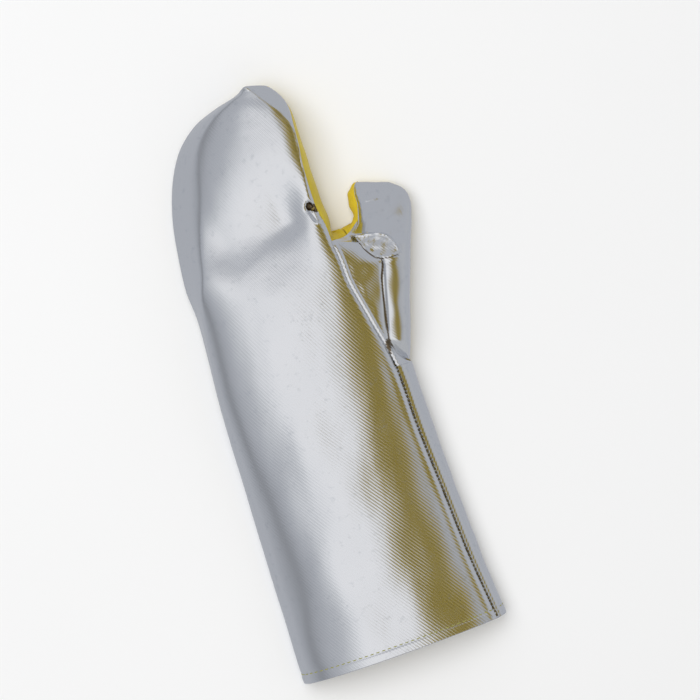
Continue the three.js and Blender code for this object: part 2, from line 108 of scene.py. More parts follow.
# Lower edge of the tube, where the flat underside rolls up into the sides
CORNER = 14.0
CORNER_SHARE = 0.3
SIDE_SEAM_ANGLE = 222.0


class Slot(Enum):
    """Material slots of the record, one for each cloth; the pieces don't take their finish from them.
    """

    FOIL = "foil_cloth"
    ARAMID = "aramid_cloth"


class Side(Enum):
    """Edge of a panel's grid that a row of stitches follows."""

    FIRST_COLUMN = 0
    LAST_COLUMN = 1
    FIRST_ROW = 2


def ease(share: Array) -> Array:
    """Smooth step 3t^2 - 2t^3 of shares t from 0 to 1."""
    return share * share * (3.0 - 2.0 * share)


def smooth(value: Array, start: float, end: float) -> Array:
    """Smooth step: 0 before start, 1 after end, and eased between them.

    Args:
        value: Numbers to test.
        start: Where the step begins.
        end: Where the step ends.

    Returns:
        Shares from 0 to 1.
    """
    return ease(np.clip((value - start) / (end - start), 0.0, 1.0))


def bell(value: Array, centre: float | Array, width: float | Array) -> Array:
    """Bell curve, e to the minus squared distance from the centre in widths."""
    return np.exp(-(((value - centre) / width) ** 2))


def mix(first: Array | float, second: Array | float, share: Array | float) -> Array:
    """Straight mix of two values, the first at share 0 and the second at share 1."""
    return first + (second - first) * share


def unit(vectors: Array) -> Array:
    """Vectors of length one along the last axis."""
    return vectors / np.maximum(np.linalg.norm(vectors, axis=-1, keepdims=True), 1e-9)


def stack(x: Array, y: Array, z: Array) -> Array:
    """Points from three arrays of coordinates that broadcast together."""
    return np.stack(np.broadcast_arrays(x, y, z), axis=-1)


def chosen(test: Array, points: Array, others: Array) -> Array:
    """Points where a test holds, and others elsewhere."""
    return np.where(test[..., None], points, others)


def walk(points: Array, axis: int = 0) -> Array:
    """Length walked along one axis of a grid of points, from 0 at its start.

    Args:
        points: Points, with a last axis of three.
        axis: The axis to walk along.

    Returns:
        Lengths, one for each point.
    """
    steps = np.linalg.norm(np.diff(points, axis=axis), axis=-1)
    start = np.zeros_like(np.take(steps, [0], axis=axis))
    return np.concatenate([start, np.cumsum(steps, axis=axis)], axis=axis)


def raised(points: Array, rise: Array) -> Array:
    """Points moved up by a rise for each."""
    return points + stack(np.zeros_like(rise), np.zeros_like(rise), rise)


def beside(start: Spot, end: Spot, points: Array) -> tuple[Array, Array, Array]:
    """Where points lie beside a line, seen from above.

    Args:
        start: Start of the line.
        end: End of the line.
        points: The points.

    Returns:
        Distance along the line, distance to its left, and distance past its nearer end.
    """
    run_x, run_y = end[0] - start[0], end[1] - start[1]
    run = math.hypot(run_x, run_y)
    x, y = points[..., 0] - start[0], points[..., 1] - start[1]
    along = (x * run_x + y * run_y) / run
    left = (y * run_x - x * run_y) / run
    return along, left, np.maximum(np.maximum(-along, along - run), 0.0)


def spline(points: Array, share: Array) -> Array:
    """Point on a smooth curve through the given points.

    Centripetal curve: between two points it is the cubic whose slopes come from the
    neighbours, with knots spaced by the square root of the chord, and the outer slopes come
    from points mirrored past the ends.

    Args:
        points: Points that the curve passes, one a row.
        share: Places from 0 at the first point to 1 at the last.

    Returns:
        Points, with the shape of share and a last axis of three.
    """
    last = len(points) - 1
    padded = np.concatenate([[2 * points[0] - points[1]], points, [2 * points[-1] - points[-2]]])
    place = np.clip(share, 0.0, 1.0) * last
    index = np.clip(np.floor(place).astype(int), 0, last - 1)
    t = (place - index)[..., None]
    p0, p1, p2, p3 = (padded[index + k] for k in range(4))
    chord = np.maximum(np.linalg.norm(np.diff(padded, axis=0), axis=1), 1e-4) ** 0.5
    d0, d1, d2 = (chord[index + k][..., None] for k in range(3))
    slope_in = ((p1 - p0) / d0 - (p2 - p0) / (d0 + d1) + (p2 - p1) / d1) * d1
    slope_out = ((p2 - p1) / d1 - (p3 - p1) / (d1 + d2) + (p3 - p2) / d2) * d1
    rise = p2 - p1
    return p1 + t * (slope_in + t * (3 * rise - 2 * slope_in - slope_out
                                     + t * (slope_in + slope_out - 2 * rise)))


class Sections:
    """Cross sections given as rows of named sizes, with a smooth curve through the rows."""

    def __init__(self, columns: Sequence[str], rows: Sequence[Sequence[float]]) -> None:
        """Keeps the names and the rows as one array.

        Args:
            columns: Names of the sizes.
            rows: Sections, each with its sizes in the order of the names.
        """
        self.columns = list(columns)
        self.rows = np.array(rows, float)
        self.last = len(rows) - 1

    def at(self, place: Array) -> dict[str, Array]:
        """Sizes at places between the rows.

        Each size is a cubic between two rows. Its slope at a row is half the rise from the row
        before to the row after. The underside never dips below the floor.

        Args:
            place: Places, where whole numbers are rows.

        Returns:
            An array for each column, of the shape of place.
        """
        place = np.asarray(place, float)
        index = np.clip(np.floor(place).astype(int), 0, self.last - 1)
        f = (place - index)[..., None]
        before, start, end, after = (
            self.rows[np.clip(index + step, 0, self.last)] for step in (-1, 0, 1, 2)
        )
        rise = end - start
        slope_in = (end - before) / 2
        bend = slope_in + (after - start) / 2 - 2 * rise
        values = start + f * (slope_in + f * (rise - slope_in - bend * (1 - f)))
        found = {name: values[..., k] for k, name in enumerate(self.columns)}
        found["floor"] = np.maximum(found["floor"], 0.0)
        return found


class Rolls:
    """How a palm panel rolls up from the floor to its sewn edge, at places along the hand."""

    COLUMNS = ("foot_x", "foot_y", "low_x", "low_y", "side_x", "side_y", "rise")

    def __init__(self, rows: Sequence[Sequence[float]]) -> None:
        """Keeps the rows, each with its place first."""
        self.rows = np.array(rows, float)

    def at(self, place: Array) -> dict[str, Array]:
        """Roll at places: a smooth step from the row before to the row after.

        Args:
            place: Places along the hand.

        Returns:
            An array for each column, of the shape of place.
        """
        places = self.rows[:, 0]
        after = np.clip(np.searchsorted(places, place), 1, len(places) - 1)
        start, end = places[after - 1], places[after]
        share = ease(np.clip((place - start) / (end - start), 0.0, 1.0))[..., None]
        values = mix(self.rows[after - 1], self.rows[after], share)[..., 1:]
        return {name: values[..., k] for k, name in enumerate(self.COLUMNS)}


# The hand and cuff are one tube. Each row is one section across it: the ends of its widest
# line, the height and place of the crown, the height of each side's widest line, how full
# each shoulder is, the angle of the index-side seam, the height of the underside, how
# steeply the little-finger flank climbs at most, and how far the thumb-side edge is
# bevelled down.
TUBE = Sections(
    ("left_x", "left_y", "right_x", "right_y", "crown_at", "crown", "left_z", "right_z",
     "left_slack", "right_slack", "seam_angle", "floor", "flank", "bevel"),
    (
        (-72.0, -1.8, 69.5, 1.8, 0.45, 33.0, 9, 9, 0.85, 0.85, 22, 0, 9, 0),
        (-71.4, 45.0, 65.8, 46.0, 0.45, 34.0, 9, 9, 0.95, 0.88, 25, 0, 9, 0),
        (-70.8, 90.0, 63.6, 91.0, 0.46, 34.5, 9, 9, 1.00, 0.88, 27, 0, 9, 0),
        (-69.8, 135.5, 62.0, 136.0, 0.49, 34.5, 9, 9, 0.78, 0.80, 30.6, 0, 9, 0),
        (-68.8, 181.0, 61.3, 178.5, 0.53, 35.0, 9, 9, 0.52, 0.68, 33.7, 0, 9, 0),
        (-66.6, 217.0, 61.0, 213.0, 0.57, 36.0, 9, 9, 0.44, 0.58, 47.0, 0, 7, 0),
        (-65.0, 247.0, 62.0, 245.0, 0.60, 37.0, 9, 9, 0.42, 0.55, 58.7, 0, 4.0, 0),
        (-66.2, 268.0, 44.0, 269.0, 0.72, 38.0, 9, 12, 0.42, 0.36, 43.2, 0, 2.0, 0),
        (-64.2, 291.0, 33.4, 291.0, 0.80, 38.5, 9, 18, 0.60, 0.18, 10.2, 0, 1.45, 0.4),
        (-60.0, 317.0, 32.4, 316.0, 0.84, 38.8, 9, 20, 0.80, 0.05, 2, 0, 1.2, 1.1),
        (-52.2, 340.0, 34.2, 335.0, 0.85, 38.8, 9, 20, 0.90, 0.05, 2, 0, 1.3, 1.1),
        (-41.5, 358.0, 35.0, 349.0, 0.84, 38.6, 9, 20, 0.86, 0.08, 2, 0, 1.6, 0.8),
        (-27.0, 370.3, 35.6, 360.0, 0.79, 38.3, 9, 17, 0.66, 0.34, 2, 0, 2.0, 0.3),
        (-11.0, 376.6, 34.0, 368.0, 0.70, 37.8, 9, 14.5, 0.45, 0.50, 2, 0.6, 2.6, 0),
        (2.5, 379.9, 30.6, 374.6, 0.60, 37.2, 9.2, 12, 0.30, 0.60, 2, 2.4, 4, 0),
        (10.6, 381.7, 26.6, 379.0, 0.52, 36.6, 9.4, 10, 0.20, 0.80, 2, 5.2, 12, 0),
        (12.0, 382.0, 25.4, 379.6, 0.50, 9.7, 9.4, 9.4, 1.00, 1.00, 2, 9.1, 9, 0),
    ),
)

# Places in the tube's rows: the wrist seam, the end of the index seam at the web, the palm's
# rows at the cleft, at the end of the web and where they are even with the tube's again, and
# the end of the tuck under the web
WRIST = 4
CROTCH = 7
PALM_CLEFT = 7.5
PALM_CROTCH = 8
PALM_EVEN = 11
TUCK_END = 10

# The thumb stands on axes of its own, turned towards +X about the point where the index seam
# meets the wrist seam
THUMB_X = 52.1
THUMB_Y = 181.6
THUMB_LEAN = math.radians(18)
THUMB_SLACK = 0.4
THUMB_CORNER = 6.0
THUMB_CORNER_SHARE = 0.3
THUMB_SEAM_ANGLE = -42.0

# Sections of the thumb: place along its axis, left and right edge, where its top lies across,
# the heights of left edge, top, right edge and underside, the angle at which the web or the
# silver edge joins the dome, and how far the web follows the dome
THUMB = Sections(
    ("along", "left", "right", "top_at", "left_z", "top", "right_z", "floor", "join_angle",
     "follow"),
    (
        (0, -3.0, 9.3, -1.4, 26.0, 26.2, 9.0, 0, 176, 0),
        (15, -5.6, 9.0, -3.6, 27.6, 27.9, 8.5, 0, 176, 0),
        (34, -8.2, 8.6, -5.6, 29.0, 29.4, 8.0, 0, 176, 0),
        (53, -10.2, 8.6, -6.9, 29.3, 30.0, 8.0, 0, 176, 0),
        (65, -10.0, 8.7, -6.4, 28.6, 29.8, 8.0, 0, 174, 0),
        (76, -17.0, 9.0, -5.5, 19.0, 27.5, 8.3, 0, 150, 0.35),
        (84, -25.5, 9.2, -8.0, 12.0, 24.5, 8.8, 0, 120, 0.8),
        (93, -26.0, 9.3, -9.0, 10.0, 21.0, 9.0, 0, 110, 1),
        (103, -26.5, 9.2, -10.0, 10.0, 17.5, 9.0, 0, 110, 1),
        (110, -28.3, 7.4, -11.0, 9.5, 15.0, 9.0, 0.3, 110, 1),
        (115, -28.6, 2.6, -12.5, 8.5, 12.5, 8.0, 0.8, 110, 1),
        (118, -27.4, -4.6, -14.0, 7.5, 9.8, 7.0, 3.0, 110, 1),
        (118.4, -26.6, -6.0, -14.5, 6.7, 7.0, 6.7, 6.4, 110, 1),
    ),
)

# Places in the thumb's rows: the top of the web on the index seam, the cleft, the end of the
# web on the thumb, and the end of the tuck; and where on the dome the silver ends
WEB_TOP = 5
CLEFT_ROW = 6
NECK = 7
THUMB_TUCK_END = 8.5
SILVER_EDGE_ANGLE = 172.0
WEB_BULGE = 0.6

# Middle of the cleft between hand and thumb, and the seam between palm and thumb: straight
# along the underside, then up the wall to the cleft
CLEFT = np.array([46.5, 271.0, 16.5])
PALM_SEAM_X = 42.0
PALM_SEAM_FROM = 178.9
CLIMB = np.array([
    [PALM_SEAM_X, 264.0, 0.0],
    [42.3, 272.5, 0.8],
    [43.5, 276.8, 5.0],
    [45.4, 275.2, 10.0],
    [CLEFT[0], CLEFT[1], CLEFT[2] - TUCK],
])

PALM_ROLL = Rolls((
    (4, -12, 0, -8, 0, -4, 0, 1),
    (7, -12, -1, -8, 0, -4, 0, 1),
    (7.25, -11, -6.5, -5, -1, -3.5, 0.2, 1),
    (7.5, -16, 2.6, -9.5, 8, -4.2, 2.8, 0.98),
    (7.75, -14, 5, -4, 9.5, -1, 5, 0.65),
    (8, -11, 8, 3.5, 8, 3, 5, 0.58),
    (9, -12, 1, 8, 1, 8, 1, 0.55),
    (11, -12, 0, 3.2, 0, 3.2, 0, 0.55),
    (13, -10, 0, 1, 0, 1, 0, 0.55),
    (TUBE.last, -4, 0, 0.6, 0, 0.6, 0, 0.55),
))
THUMB_ROLL = Rolls((
    (0, 3.5, 0, 2.3, 0, 1.2, 0, 1),
    (1, 8, -1, 5.3, -0.7, 2.7, -0.3, 1),
    (5, 8, -2.9, 5.3, -1.9, 2.7, -1, 1),
    (5.5, 9, -6, 6, 0, 3.5, 0.3, 1),
    (6, 10.5, 1, 5, 10, 1.2, 4.5, 0.75),
    (6.5, 9, 0, 2, 8, 0, 5, 0.6),
    (7, 8, -1, -3, 5, -3.5, 5, 0.55),
    (8, 8.6, -2.8, -8, 2.6, -8, 2.6, 0.55),
    (9, 8.6, -2.8, -7, 2.2, -7, 2.2, 0.55),
    (10, 7.6, -2.5, -3.5, 1.1, -3.5, 1.1, 0.55),
    (11, 6.5, -2.1, -2.4, 0.8, -2.4, 0.8, 0.55),
    (THUMB.last, 3.8, -1.2, 2.6, -0.8, 1.3, -0.4, 0.9),
))


@dataclass(frozen=True)
class Fold:
    """Valley pressed into the cloth along a line, or a ridge where its depth is negative.

    Its depth is a bell across the line times a bell of the distance past the line's ends. The
    half-width may differ on the two sides, which makes a crease with one steep side.
    """

    start: Spot
    end: Spot
    width: float
    depth: float
    fade: float
    right_width: float = 0.0

    def depth_at(self, points: Array) -> Array:
        """Depth of the fold at points of a cloth.

        Args:
            points: The points.

        Returns:
            Depths in millimetres.
        """
        _, left, past = beside(self.start, self.end, points)
        width = np.where(left < 0, self.right_width or self.width, self.width)
        return self.depth * np.exp(-((left / width) ** 2) - (past / self.fade) ** 2)


# Large folds of the back: the dent beside the index seam, a shallow valley that leads to it,
# and the wide one across the hand
TUBE_FOLDS = (
    Fold((29, 294.5), (34, 291), 3.0, 2.4, 2.5),
    Fold((30, 295), (16, 291), 9, 1.2, 24, 20),
    Fold((8, 291), (-30, 287), 28, 4.9, 18.5, 26),
)

# Crease across the fingertip, beyond which the cloth drops as one facet: a point on it, the
# direction away from it, its height, the facet's fall and its fall along the crease. Then the
# rounding of that crease and of the flank's, and the bevel's width
TIP_CREASE = (23.4, 368.9)
TIP_AWAY = (0.789, 0.616)
TIP_HEIGHT = 36.6
TIP_FALL = 1.5
TIP_RUN = 0.05
CREASE_ROUND = 1.4
FLANK_ROUND = 6.0
BEVEL_WIDTH = 4.5


def lower(first: Array, second: Array, blend: float) -> Array:
    """Lower of two heights, with the corner between them rounded over a blend's width."""
    share = np.clip(0.5 + 0.5 * (second - first) / blend, 0, 1)
    return mix(second, first, share) - blend * share * (1 - share)


def tube_point(place: Array, angle: Array) -> Array:
    """Point of the tube at an angle round its section.

    Angle 0 is the thumb-side edge, 90 the crown and 180 the little-finger edge. Between them
    the height follows a power of the sine, cut down to the sloping flank on the little-finger
    side and to the facet at the fingertip. Past them quarter rounds lead down to the ends of
    the flat underside, at -90 and 270.

    Args:
        place: Places in the tube's rows.
        angle: Angles in degrees.

    Returns:
        Points in millimetres, with a last axis of three.
    """
    place, angle = np.broadcast_arrays(np.asarray(place, float), np.asarray(angle, float))
    row = TUBE.at(place)
    width = np.hypot(row["right_x"] - row["left_x"], row["right_y"] - row["left_y"])
    corner = np.minimum(CORNER / width, CORNER_SHARE)
    c, s = np.cos(np.radians(angle)), np.sin(np.radians(angle))
    right = angle <= 90
    side = np.where(right, row["right_z"], row["left_z"])
    slack = np.where(right, row["right_slack"], row["left_slack"])
    reach = np.where(right, 1 - row["crown_at"], row["crown_at"])
    share = row["crown_at"] + c * reach
    z = side + (row["crown"] - side) * np.maximum(s, 0.0) ** slack
    below = angle < 0
    beyond = angle > 180
    share = np.where(below, 1 - corner * (1 - c), np.where(beyond, corner * (1 + c), share))
    z = np.where(below | beyond, row["floor"] + (side - row["floor"]) * (1 + s), z)
    x = mix(row["left_x"], row["right_x"], share)
    y = mix(row["left_y"], row["right_y"], share)
    over = (angle > 0) & (angle < 180)
    flank = row["left_z"] + FLANK_ROUND / 4 + row["flank"] * (x - row["left_x"])
    away = (x - TIP_CREASE[0]) * TIP_AWAY[0] + (y - TIP_CREASE[1]) * TIP_AWAY[1]
    along = (y - TIP_CREASE[1]) * TIP_AWAY[0] - (x - TIP_CREASE[0]) * TIP_AWAY[1]
    facet = TIP_HEIGHT - TIP_FALL * away - TIP_RUN * along
    bevel = row["crown"] - row["bevel"] * (1 - (row["right_x"] - x) / BEVEL_WIDTH)
    cut = lower(lower(z, flank, FLANK_ROUND), np.minimum(facet, bevel), CREASE_ROUND)
    points = stack(x, y, np.where(over, np.maximum(cut, side), z))
    depth = sum(fold.depth_at(points) for fold in TUBE_FOLDS)
    return raised(points, np.where(over, -depth * s * s, 0.0))


def index_seam(place: Array) -> Array:
    """Point of the index-side seam at places in the tube's rows."""
    return tube_point(place, TUBE.at(place)["seam_angle"])


def on_thumb(across: Array, along: Array, z: Array) -> Array:
    """Point given on the thumb's own axes."""
    c, s = math.cos(THUMB_LEAN), math.sin(THUMB_LEAN)
    return stack(THUMB_X + across * c + along * s, THUMB_Y - across * s + along * c, z)


def thumb_point(place: Array, angle: Array) -> Array:
    """Point of the thumb's dome at an angle: 0 is its outer edge, 90 its top, 180 its inner edge.

    Args:
        place: Places in the thumb's rows.
        angle: Angles in degrees; below 0 a quarter round leads to the flat underside.

    Returns:
        Points in millimetres, with a last axis of three.
    """
    place, angle = np.broadcast_arrays(np.asarray(place, float), np.asarray(angle, float))
    row = THUMB.at(place)
    c, s = np.cos(np.radians(angle)), np.sin(np.radians(angle))
    corner = np.minimum(THUMB_CORNER, THUMB_CORNER_SHARE * (row["right"] - row["left"]))
    right = angle <= 90
    edge = np.where(right, row["right"], row["left"])
    edge_z = np.where(right, row["right_z"], row["left_z"])
    across = row["top_at"] + np.abs(c) * (edge - row["top_at"])
    z = edge_z + (row["top"] - edge_z) * np.maximum(s, 0.0) ** THUMB_SLACK
    below = angle < 0
    across = np.where(below, row["right"] - corner * (1 - c), across)
    z = np.where(below, row["floor"] + (row["right_z"] - row["floor"]) * (1 + s), z)
    return on_thumb(across, row["along"], z)


def silver_edge(place: Array) -> Array:
    """Inner edge of the silver thumb: up the index seam, over the web's free edge, to its tip.

    Args:
        place: Places in the thumb's rows.

    Returns:
        Points in millimetres.
    """
    place = np.asarray(place, float)
    seam = index_seam(mix(WRIST, CROTCH, np.clip(place, 0, WEB_TOP) / WEB_TOP))
    free_edge = np.stack([
        index_seam(np.array(CROTCH)),
        CLEFT,
        thumb_point(np.array(NECK), np.array(SILVER_EDGE_ANGLE)),
    ])
    web = spline(free_edge, (place - WEB_TOP) / (NECK - WEB_TOP))
    side = thumb_point(np.maximum(place, NECK), np.full_like(place, SILVER_EDGE_ANGLE))
    return chosen(place <= WEB_TOP, seam, chosen(place >= NECK, side, web))


def flat_seam(share: Array) -> Array:
    """Flat part of the seam between palm and thumb, at shares of its length."""
    return stack(np.array(PALM_SEAM_X), mix(PALM_SEAM_FROM, CLIMB[0, 1], share), np.array(0.0))


def climb_seam(share: Array) -> Array:
    """Climb of the seam between palm and thumb to the cleft, kept above the floor."""
    points = spline(CLIMB, share)
    return stack(points[..., 0], points[..., 1], np.maximum(points[..., 2], 0.0))


def off_edge(edge: Array, roll: dict[str, Array], part: str, z: Array) -> Array:
    """Foot, low point or side of a roll, at its own offset from the sewn edge."""
    return stack(edge[..., 0] + roll[part + "_x"], edge[..., 1] + roll[part + "_y"], z)


def rolled_up(edge: Array, floor: Array, roll: dict[str, Array], share: Array) -> Array:
    """Roll of an underside from its foot up to a sewn edge.

    It is the cubic curve whose four controls are the foot, a point low down, a point at the
    side and the edge.

    Args:
        edge: The sewn edge.
        floor: Height of the underside.
        roll: Where the foot, the low point and the side stand, from the edge.
        share: Shares along the roll.

    Returns:
        Points in millimetres.
    """
    foot, low = (off_edge(edge, roll, part, floor) for part in ("foot", "low"))
    side = off_edge(edge, roll, "side", mix(floor, edge[..., 2], roll["rise"]))
    share = share[..., None]
    rest = 1 - share
    return (foot * rest**3 + low * 3 * share * rest**2 + side * 3 * share**2 * rest
            + edge * share**3)


@dataclass(frozen=True)
class Cloth:
    """Outer face of a panel: a grid of points, normals out of it and how far they lie across.

    Rows run along the glove and columns across the panel. All in millimetres.
    """

    points: Array
    normals: Array
    arc: Array
    places: Array

    def at(self, points: Array) -> "Cloth":
        """The same cloth with its points in new places."""
        return Cloth(points, face_normals(points), self.arc, self.places)

    def moved(self, lift: Array) -> "Cloth":
        """The same cloth pushed out along its normals by a lift for each point."""
        return self.at(self.points + self.normals * lift[..., None])

    def from_first(self) -> Array:
        """Distance from the first column's edge."""
        return self.arc

    def from_last(self) -> Array:
        """Distance from the last column's edge."""
        return self.arc[:, -1:] - self.arc

    def track(self, side: Side, inset: float) -> tuple[Array, Array]:
        """Line on the cloth that follows one of its edges at a distance.

        Args:
            side: The edge.
            inset: Distance from it in millimetres.

        Returns:
            The line's points and the cloth's normals there, one a row.
        """
        if side is Side.FIRST_ROW:
            points, normals = self.points.transpose(1, 0, 2), self.normals.transpose(1, 0, 2)
            walked = walk(points, 1)
        else:
            points, normals = self.points, self.normals
            walked = self.arc if side is Side.FIRST_COLUMN else self.from_last()[:, ::-1]
            if side is Side.LAST_COLUMN:
                points, normals = points[:, ::-1], normals[:, ::-1]
        index = np.clip((walked < inset).sum(axis=1), 1, walked.shape[1] - 1)
        rows = np.arange(len(walked))
        start, end = walked[rows, index - 1], walked[rows, index]
        share = np.clip((inset - start) / np.maximum(end - start, 1e-6), 0, 1)[:, None]
        line = mix(points[rows, index - 1], points[rows, index], share)
        return line, unit(mix(normals[rows, index - 1], normals[rows, index], share))


def face_normals(points: Array) -> Array:
    """Unit normals of a grid: its direction along the rows crossed with its direction across.

    Points that lie on the floor face straight down.
    """
    normals = unit(np.cross(np.gradient(points, axis=0), np.gradient(points, axis=1)))
    return np.where((points[..., 2] < ON_FLOOR)[..., None], np.array([0.0, 0.0, -1.0]), normals)


def even_places(surface: Surface, across: float, breaks: Sequence[float], step: float) -> Array:
    """Places along a panel that lie about a step apart, with one on each break.

    Args:
        surface: The panel's surface.
        across: Share across at which the distance is measured.
        breaks: Places that must be among the result.
        step: Distance between rows in millimetres.

    Returns:
        Places in rising order.
    """
    found = [np.array([breaks[0]], float)]
    for start, end in zip(breaks, breaks[1:]):
        fine = np.linspace(start, end, ROW_STEPS)
        walked = walk(surface(np.full_like(fine, across), fine))
        count = max(2, round(walked[-1] / step))
        found.append(np.interp(np.linspace(0, walked[-1], count + 1)[1:], walked, fine))
    return np.concatenate(found)


def lay_cloth(surface: Surface, stretches: Sequence[float], counts: Sequence[int],
              places: Array, fine: int) -> Cloth:
    """Grid over a panel whose points are evenly spaced along each stretch of a row.

    Each stretch is measured in small steps, and the points are put back at equal lengths by
    straight interpolation. Half the seam gap stays free on all four edges.

    Args:
        surface: Point of the panel at a share across and a place along.
        stretches: Shares across at which the stretches start and end.
        counts: Number of spaces in each stretch.
        places: Places of the rows.
        fine: Steps in which a stretch is measured.

    Returns:
        The cloth of the outer face.
    """
    rows = np.arange(len(places))[:, None]
    parts = []
    for k, count in enumerate(counts):
        shares = np.linspace(stretches[k], stretches[k + 1], fine + 1)
        curve = surface(*np.broadcast_arrays(shares[None, :], places[:, None]))
        walked = walk(curve, 1)
        total = walked[:, -1:]
        start = SEAM_GAP / 2 if k == 0 else 0.0
        end = total - (SEAM_GAP / 2 if k == len(counts) - 1 else 0.0)
        goal = start + (end - start) * np.linspace(0, 1, count + 1)[None, 0 if k == 0 else 1:]
        after = np.clip((walked[:, None, :] < goal[..., None]).sum(axis=-1), 1, fine)
        low, high = walked[rows, after - 1], walked[rows, after]
        share = ((goal - low) / np.maximum(high - low, 1e-9))[..., None]
        parts.append(mix(curve[rows, after - 1], curve[rows, after], share))
    points = np.concatenate(parts, axis=1)
    for end, inner in ((0, 1), (-1, -2)):
        inward = points[inner] - points[end]
        reach = np.linalg.norm(inward, axis=-1, keepdims=True)
        points[end] += unit(inward) * np.minimum(SEAM_GAP / 2, reach * TRIM_SHARE)
    return Cloth(points, face_normals(points), walk(points, 1), places)


def ripple(points: Array, length: float, seed: int) -> Array:
    """Smooth seeded undulation: a mean of sines in random directions seen from above.

    Args:
        points: Points of a cloth in millimetres.
        length: Usual distance between crests.
        seed: Seed of the directions, lengths and phases.

    Returns:
        Heights of about -1 to 1.
    """
    waves = 7
    x, y = points[..., 0], points[..., 1]
    chance = np.random.default_rng(seed)
    turn = chance.uniform(0, math.pi, waves)
    pace = 2 * math.pi / (length * chance.uniform(0.7, 1.6, waves))
    phase = chance.uniform(0, 2 * math.pi, waves)
    total = sum(
        np.sin(pace[k] * (x * math.cos(turn[k]) + y * math.sin(turn[k])) + phase[k])
        for k in range(waves)
    )
    return total / math.sqrt(waves)


def loop_of(rows: int, columns: int) -> Array:
    """Grid indices round the four edges: along the first row, the last column, and back."""
    grid = np.arange(rows * columns).reshape(rows, columns)
    return np.concatenate([grid[0, :-1], grid[:-1, -1], grid[-1, :0:-1], grid[:0:-1, 0]])


def quads_between(first: Array, second: Array) -> Array:
    """Faces between two closed loops of vertex numbers."""
    return np.stack([first, np.roll(first, -1), np.roll(second, -1), second], axis=1)


def grid_quads(rows: int, columns: int) -> Array:
    """Faces of a grid, wound so that they face along its normals.

    Args:
        rows: Number of its rows.
        columns: Number of its columns.

    Returns:
        Vertex numbers, four a face.
    """
    grid = np.arange(rows * columns).reshape(rows, columns)
    corners = (grid[:-1, :-1], grid[1:, :-1], grid[1:, 1:], grid[:-1, 1:])
    return np.stack([corner.ravel() for corner in corners], axis=1)


def add_piece(mesh: bpy.types.Mesh, slot: Slot) -> bpy.types.Object:
    """Object that shows a mesh under its name and rides on the glove's one body.

    Args:
        mesh: The finished mesh, in metres in the CAD frame.
        slot: Material slot of the record; not used.

    Returns:
        The new object.
    """
    piece = bpy.data.objects.new(mesh.name, mesh)
    bpy.context.scene.collection.objects.link(piece)
    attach(piece, BODY)
    return piece


def make_mesh(name: str, points: Array, faces: Array, uv: Array) -> bpy.types.Mesh:
    """Mesh of four-sided faces, put in its place in the CAD frame.

    Args:
        name: Name of the mesh.
        points: Vertices in millimetres on the glove's axes.
        faces: Vertex numbers of the faces.
        uv: Cloth coordinates of each vertex in metres.

    Returns:
        The new mesh, with its UV map "cloth".
    """
    mesh = bpy.data.meshes.new(name)
    mesh.vertices.add(len(points))
    mesh.vertices.foreach_set("co", ((points - FOOTPRINT) * MM).ravel())
    mesh.loops.add(faces.size)
    mesh.loops.foreach_set("vertex_index", faces.ravel().astype(np.int32))
    mesh.polygons.add(len(faces))
    mesh.polygons.foreach_set("loop_start", np.arange(len(faces), dtype=np.int32) * 4)
    mesh.update(calc_edges=True)
    layer = mesh.uv_layers.new(name="cloth")
    layer.data.foreach_set("uv", uv[faces.ravel()].ravel())
    mesh.shade_smooth()
    mesh.set_sharp_from_angle(angle=math.radians(SHARP_EDGE))
    mesh.validate()
    return mesh


# Loops round the rim of a shell between its outer and its inner edge, and how far the rim
# swells, as a share of the wall
RIM_STEPS = 3
RIM_SWELL = 0.25


def make_shell(name: str, cloth: Cloth, thickness: Array, uv: Array, slot: Slot,
               crease: Array | None) -> bpy.types.Object:
    """Closed shell of a cloth: outer face, inner face and a rounded rim between them.

    The inner face lies the wall's thickness behind the outer one. The rim's loops are mixes of
    the two edges, pushed out by a half sine.

    Args:
        name: Name of the piece.
        cloth: Its outer face.
        thickness: Wall for each row.
        uv: Cloth coordinates of the outer face in metres.
        slot: Material slot of the record.
        crease: Share of painted crease shade at each point of the outer face, 0 to 1, or None.

    Returns:
        The new object, whose second material is its inner side.
    """
    rows, columns = cloth.arc.shape
    outer = cloth.points.reshape(-1, 3)
    inner = (cloth.points - cloth.normals * thickness[:, None, None]).reshape(-1, 3)
    edge = loop_of(rows, columns)
    grid_row, grid_column = np.divmod(edge, columns)
    within = (np.clip(grid_row, 1, rows - 2) * columns + np.clip(grid_column, 1, columns - 2))
    out = unit(outer[edge] - outer[within])
    shares = np.arange(1, RIM_STEPS)[:, None, None] / RIM_STEPS
    swell = np.sin(math.pi * shares) * thickness[grid_row][None, :, None] * RIM_SWELL
    rims = mix(outer[edge][None], inner[edge][None], shares) + out[None] * swell
    count = len(outer)
    loops = [edge]
    loops += [2 * count + k * len(edge) + np.arange(len(edge)) for k in range(RIM_STEPS - 1)]
    loops += [count + edge]
    front = grid_quads(rows, columns)
    rim = np.concatenate([quads_between(a, b) for a, b in zip(loops, loops[1:])])
    faces = np.concatenate([front, rim, front[:, ::-1] + count])
    points = np.concatenate([outer, inner, rims.reshape(-1, 3)])
    flat_uv = uv.reshape(-1, 2)
    every_uv = np.concatenate([flat_uv, flat_uv, np.tile(flat_uv[edge], (RIM_STEPS - 1, 1))])
    mesh = make_mesh(name, points, faces, every_uv)
    # The crease attribute holds painted shade, which darkens the foil's colour
    if crease is not None:
        depth = mesh.attributes.new("crease", "FLOAT", "POINT")
        values = np.zeros(len(points), np.float32)
        values[:count] = crease.ravel()
        depth.data.foreach_set("value", values)
    second = np.zeros(len(faces), np.int32)
    second[len(front) + len(rim):] = 1
    mesh.materials.append(None)
    mesh.materials.append(None)
    mesh.polygons.foreach_set("material_index", second)
    return add_piece(mesh, slot)


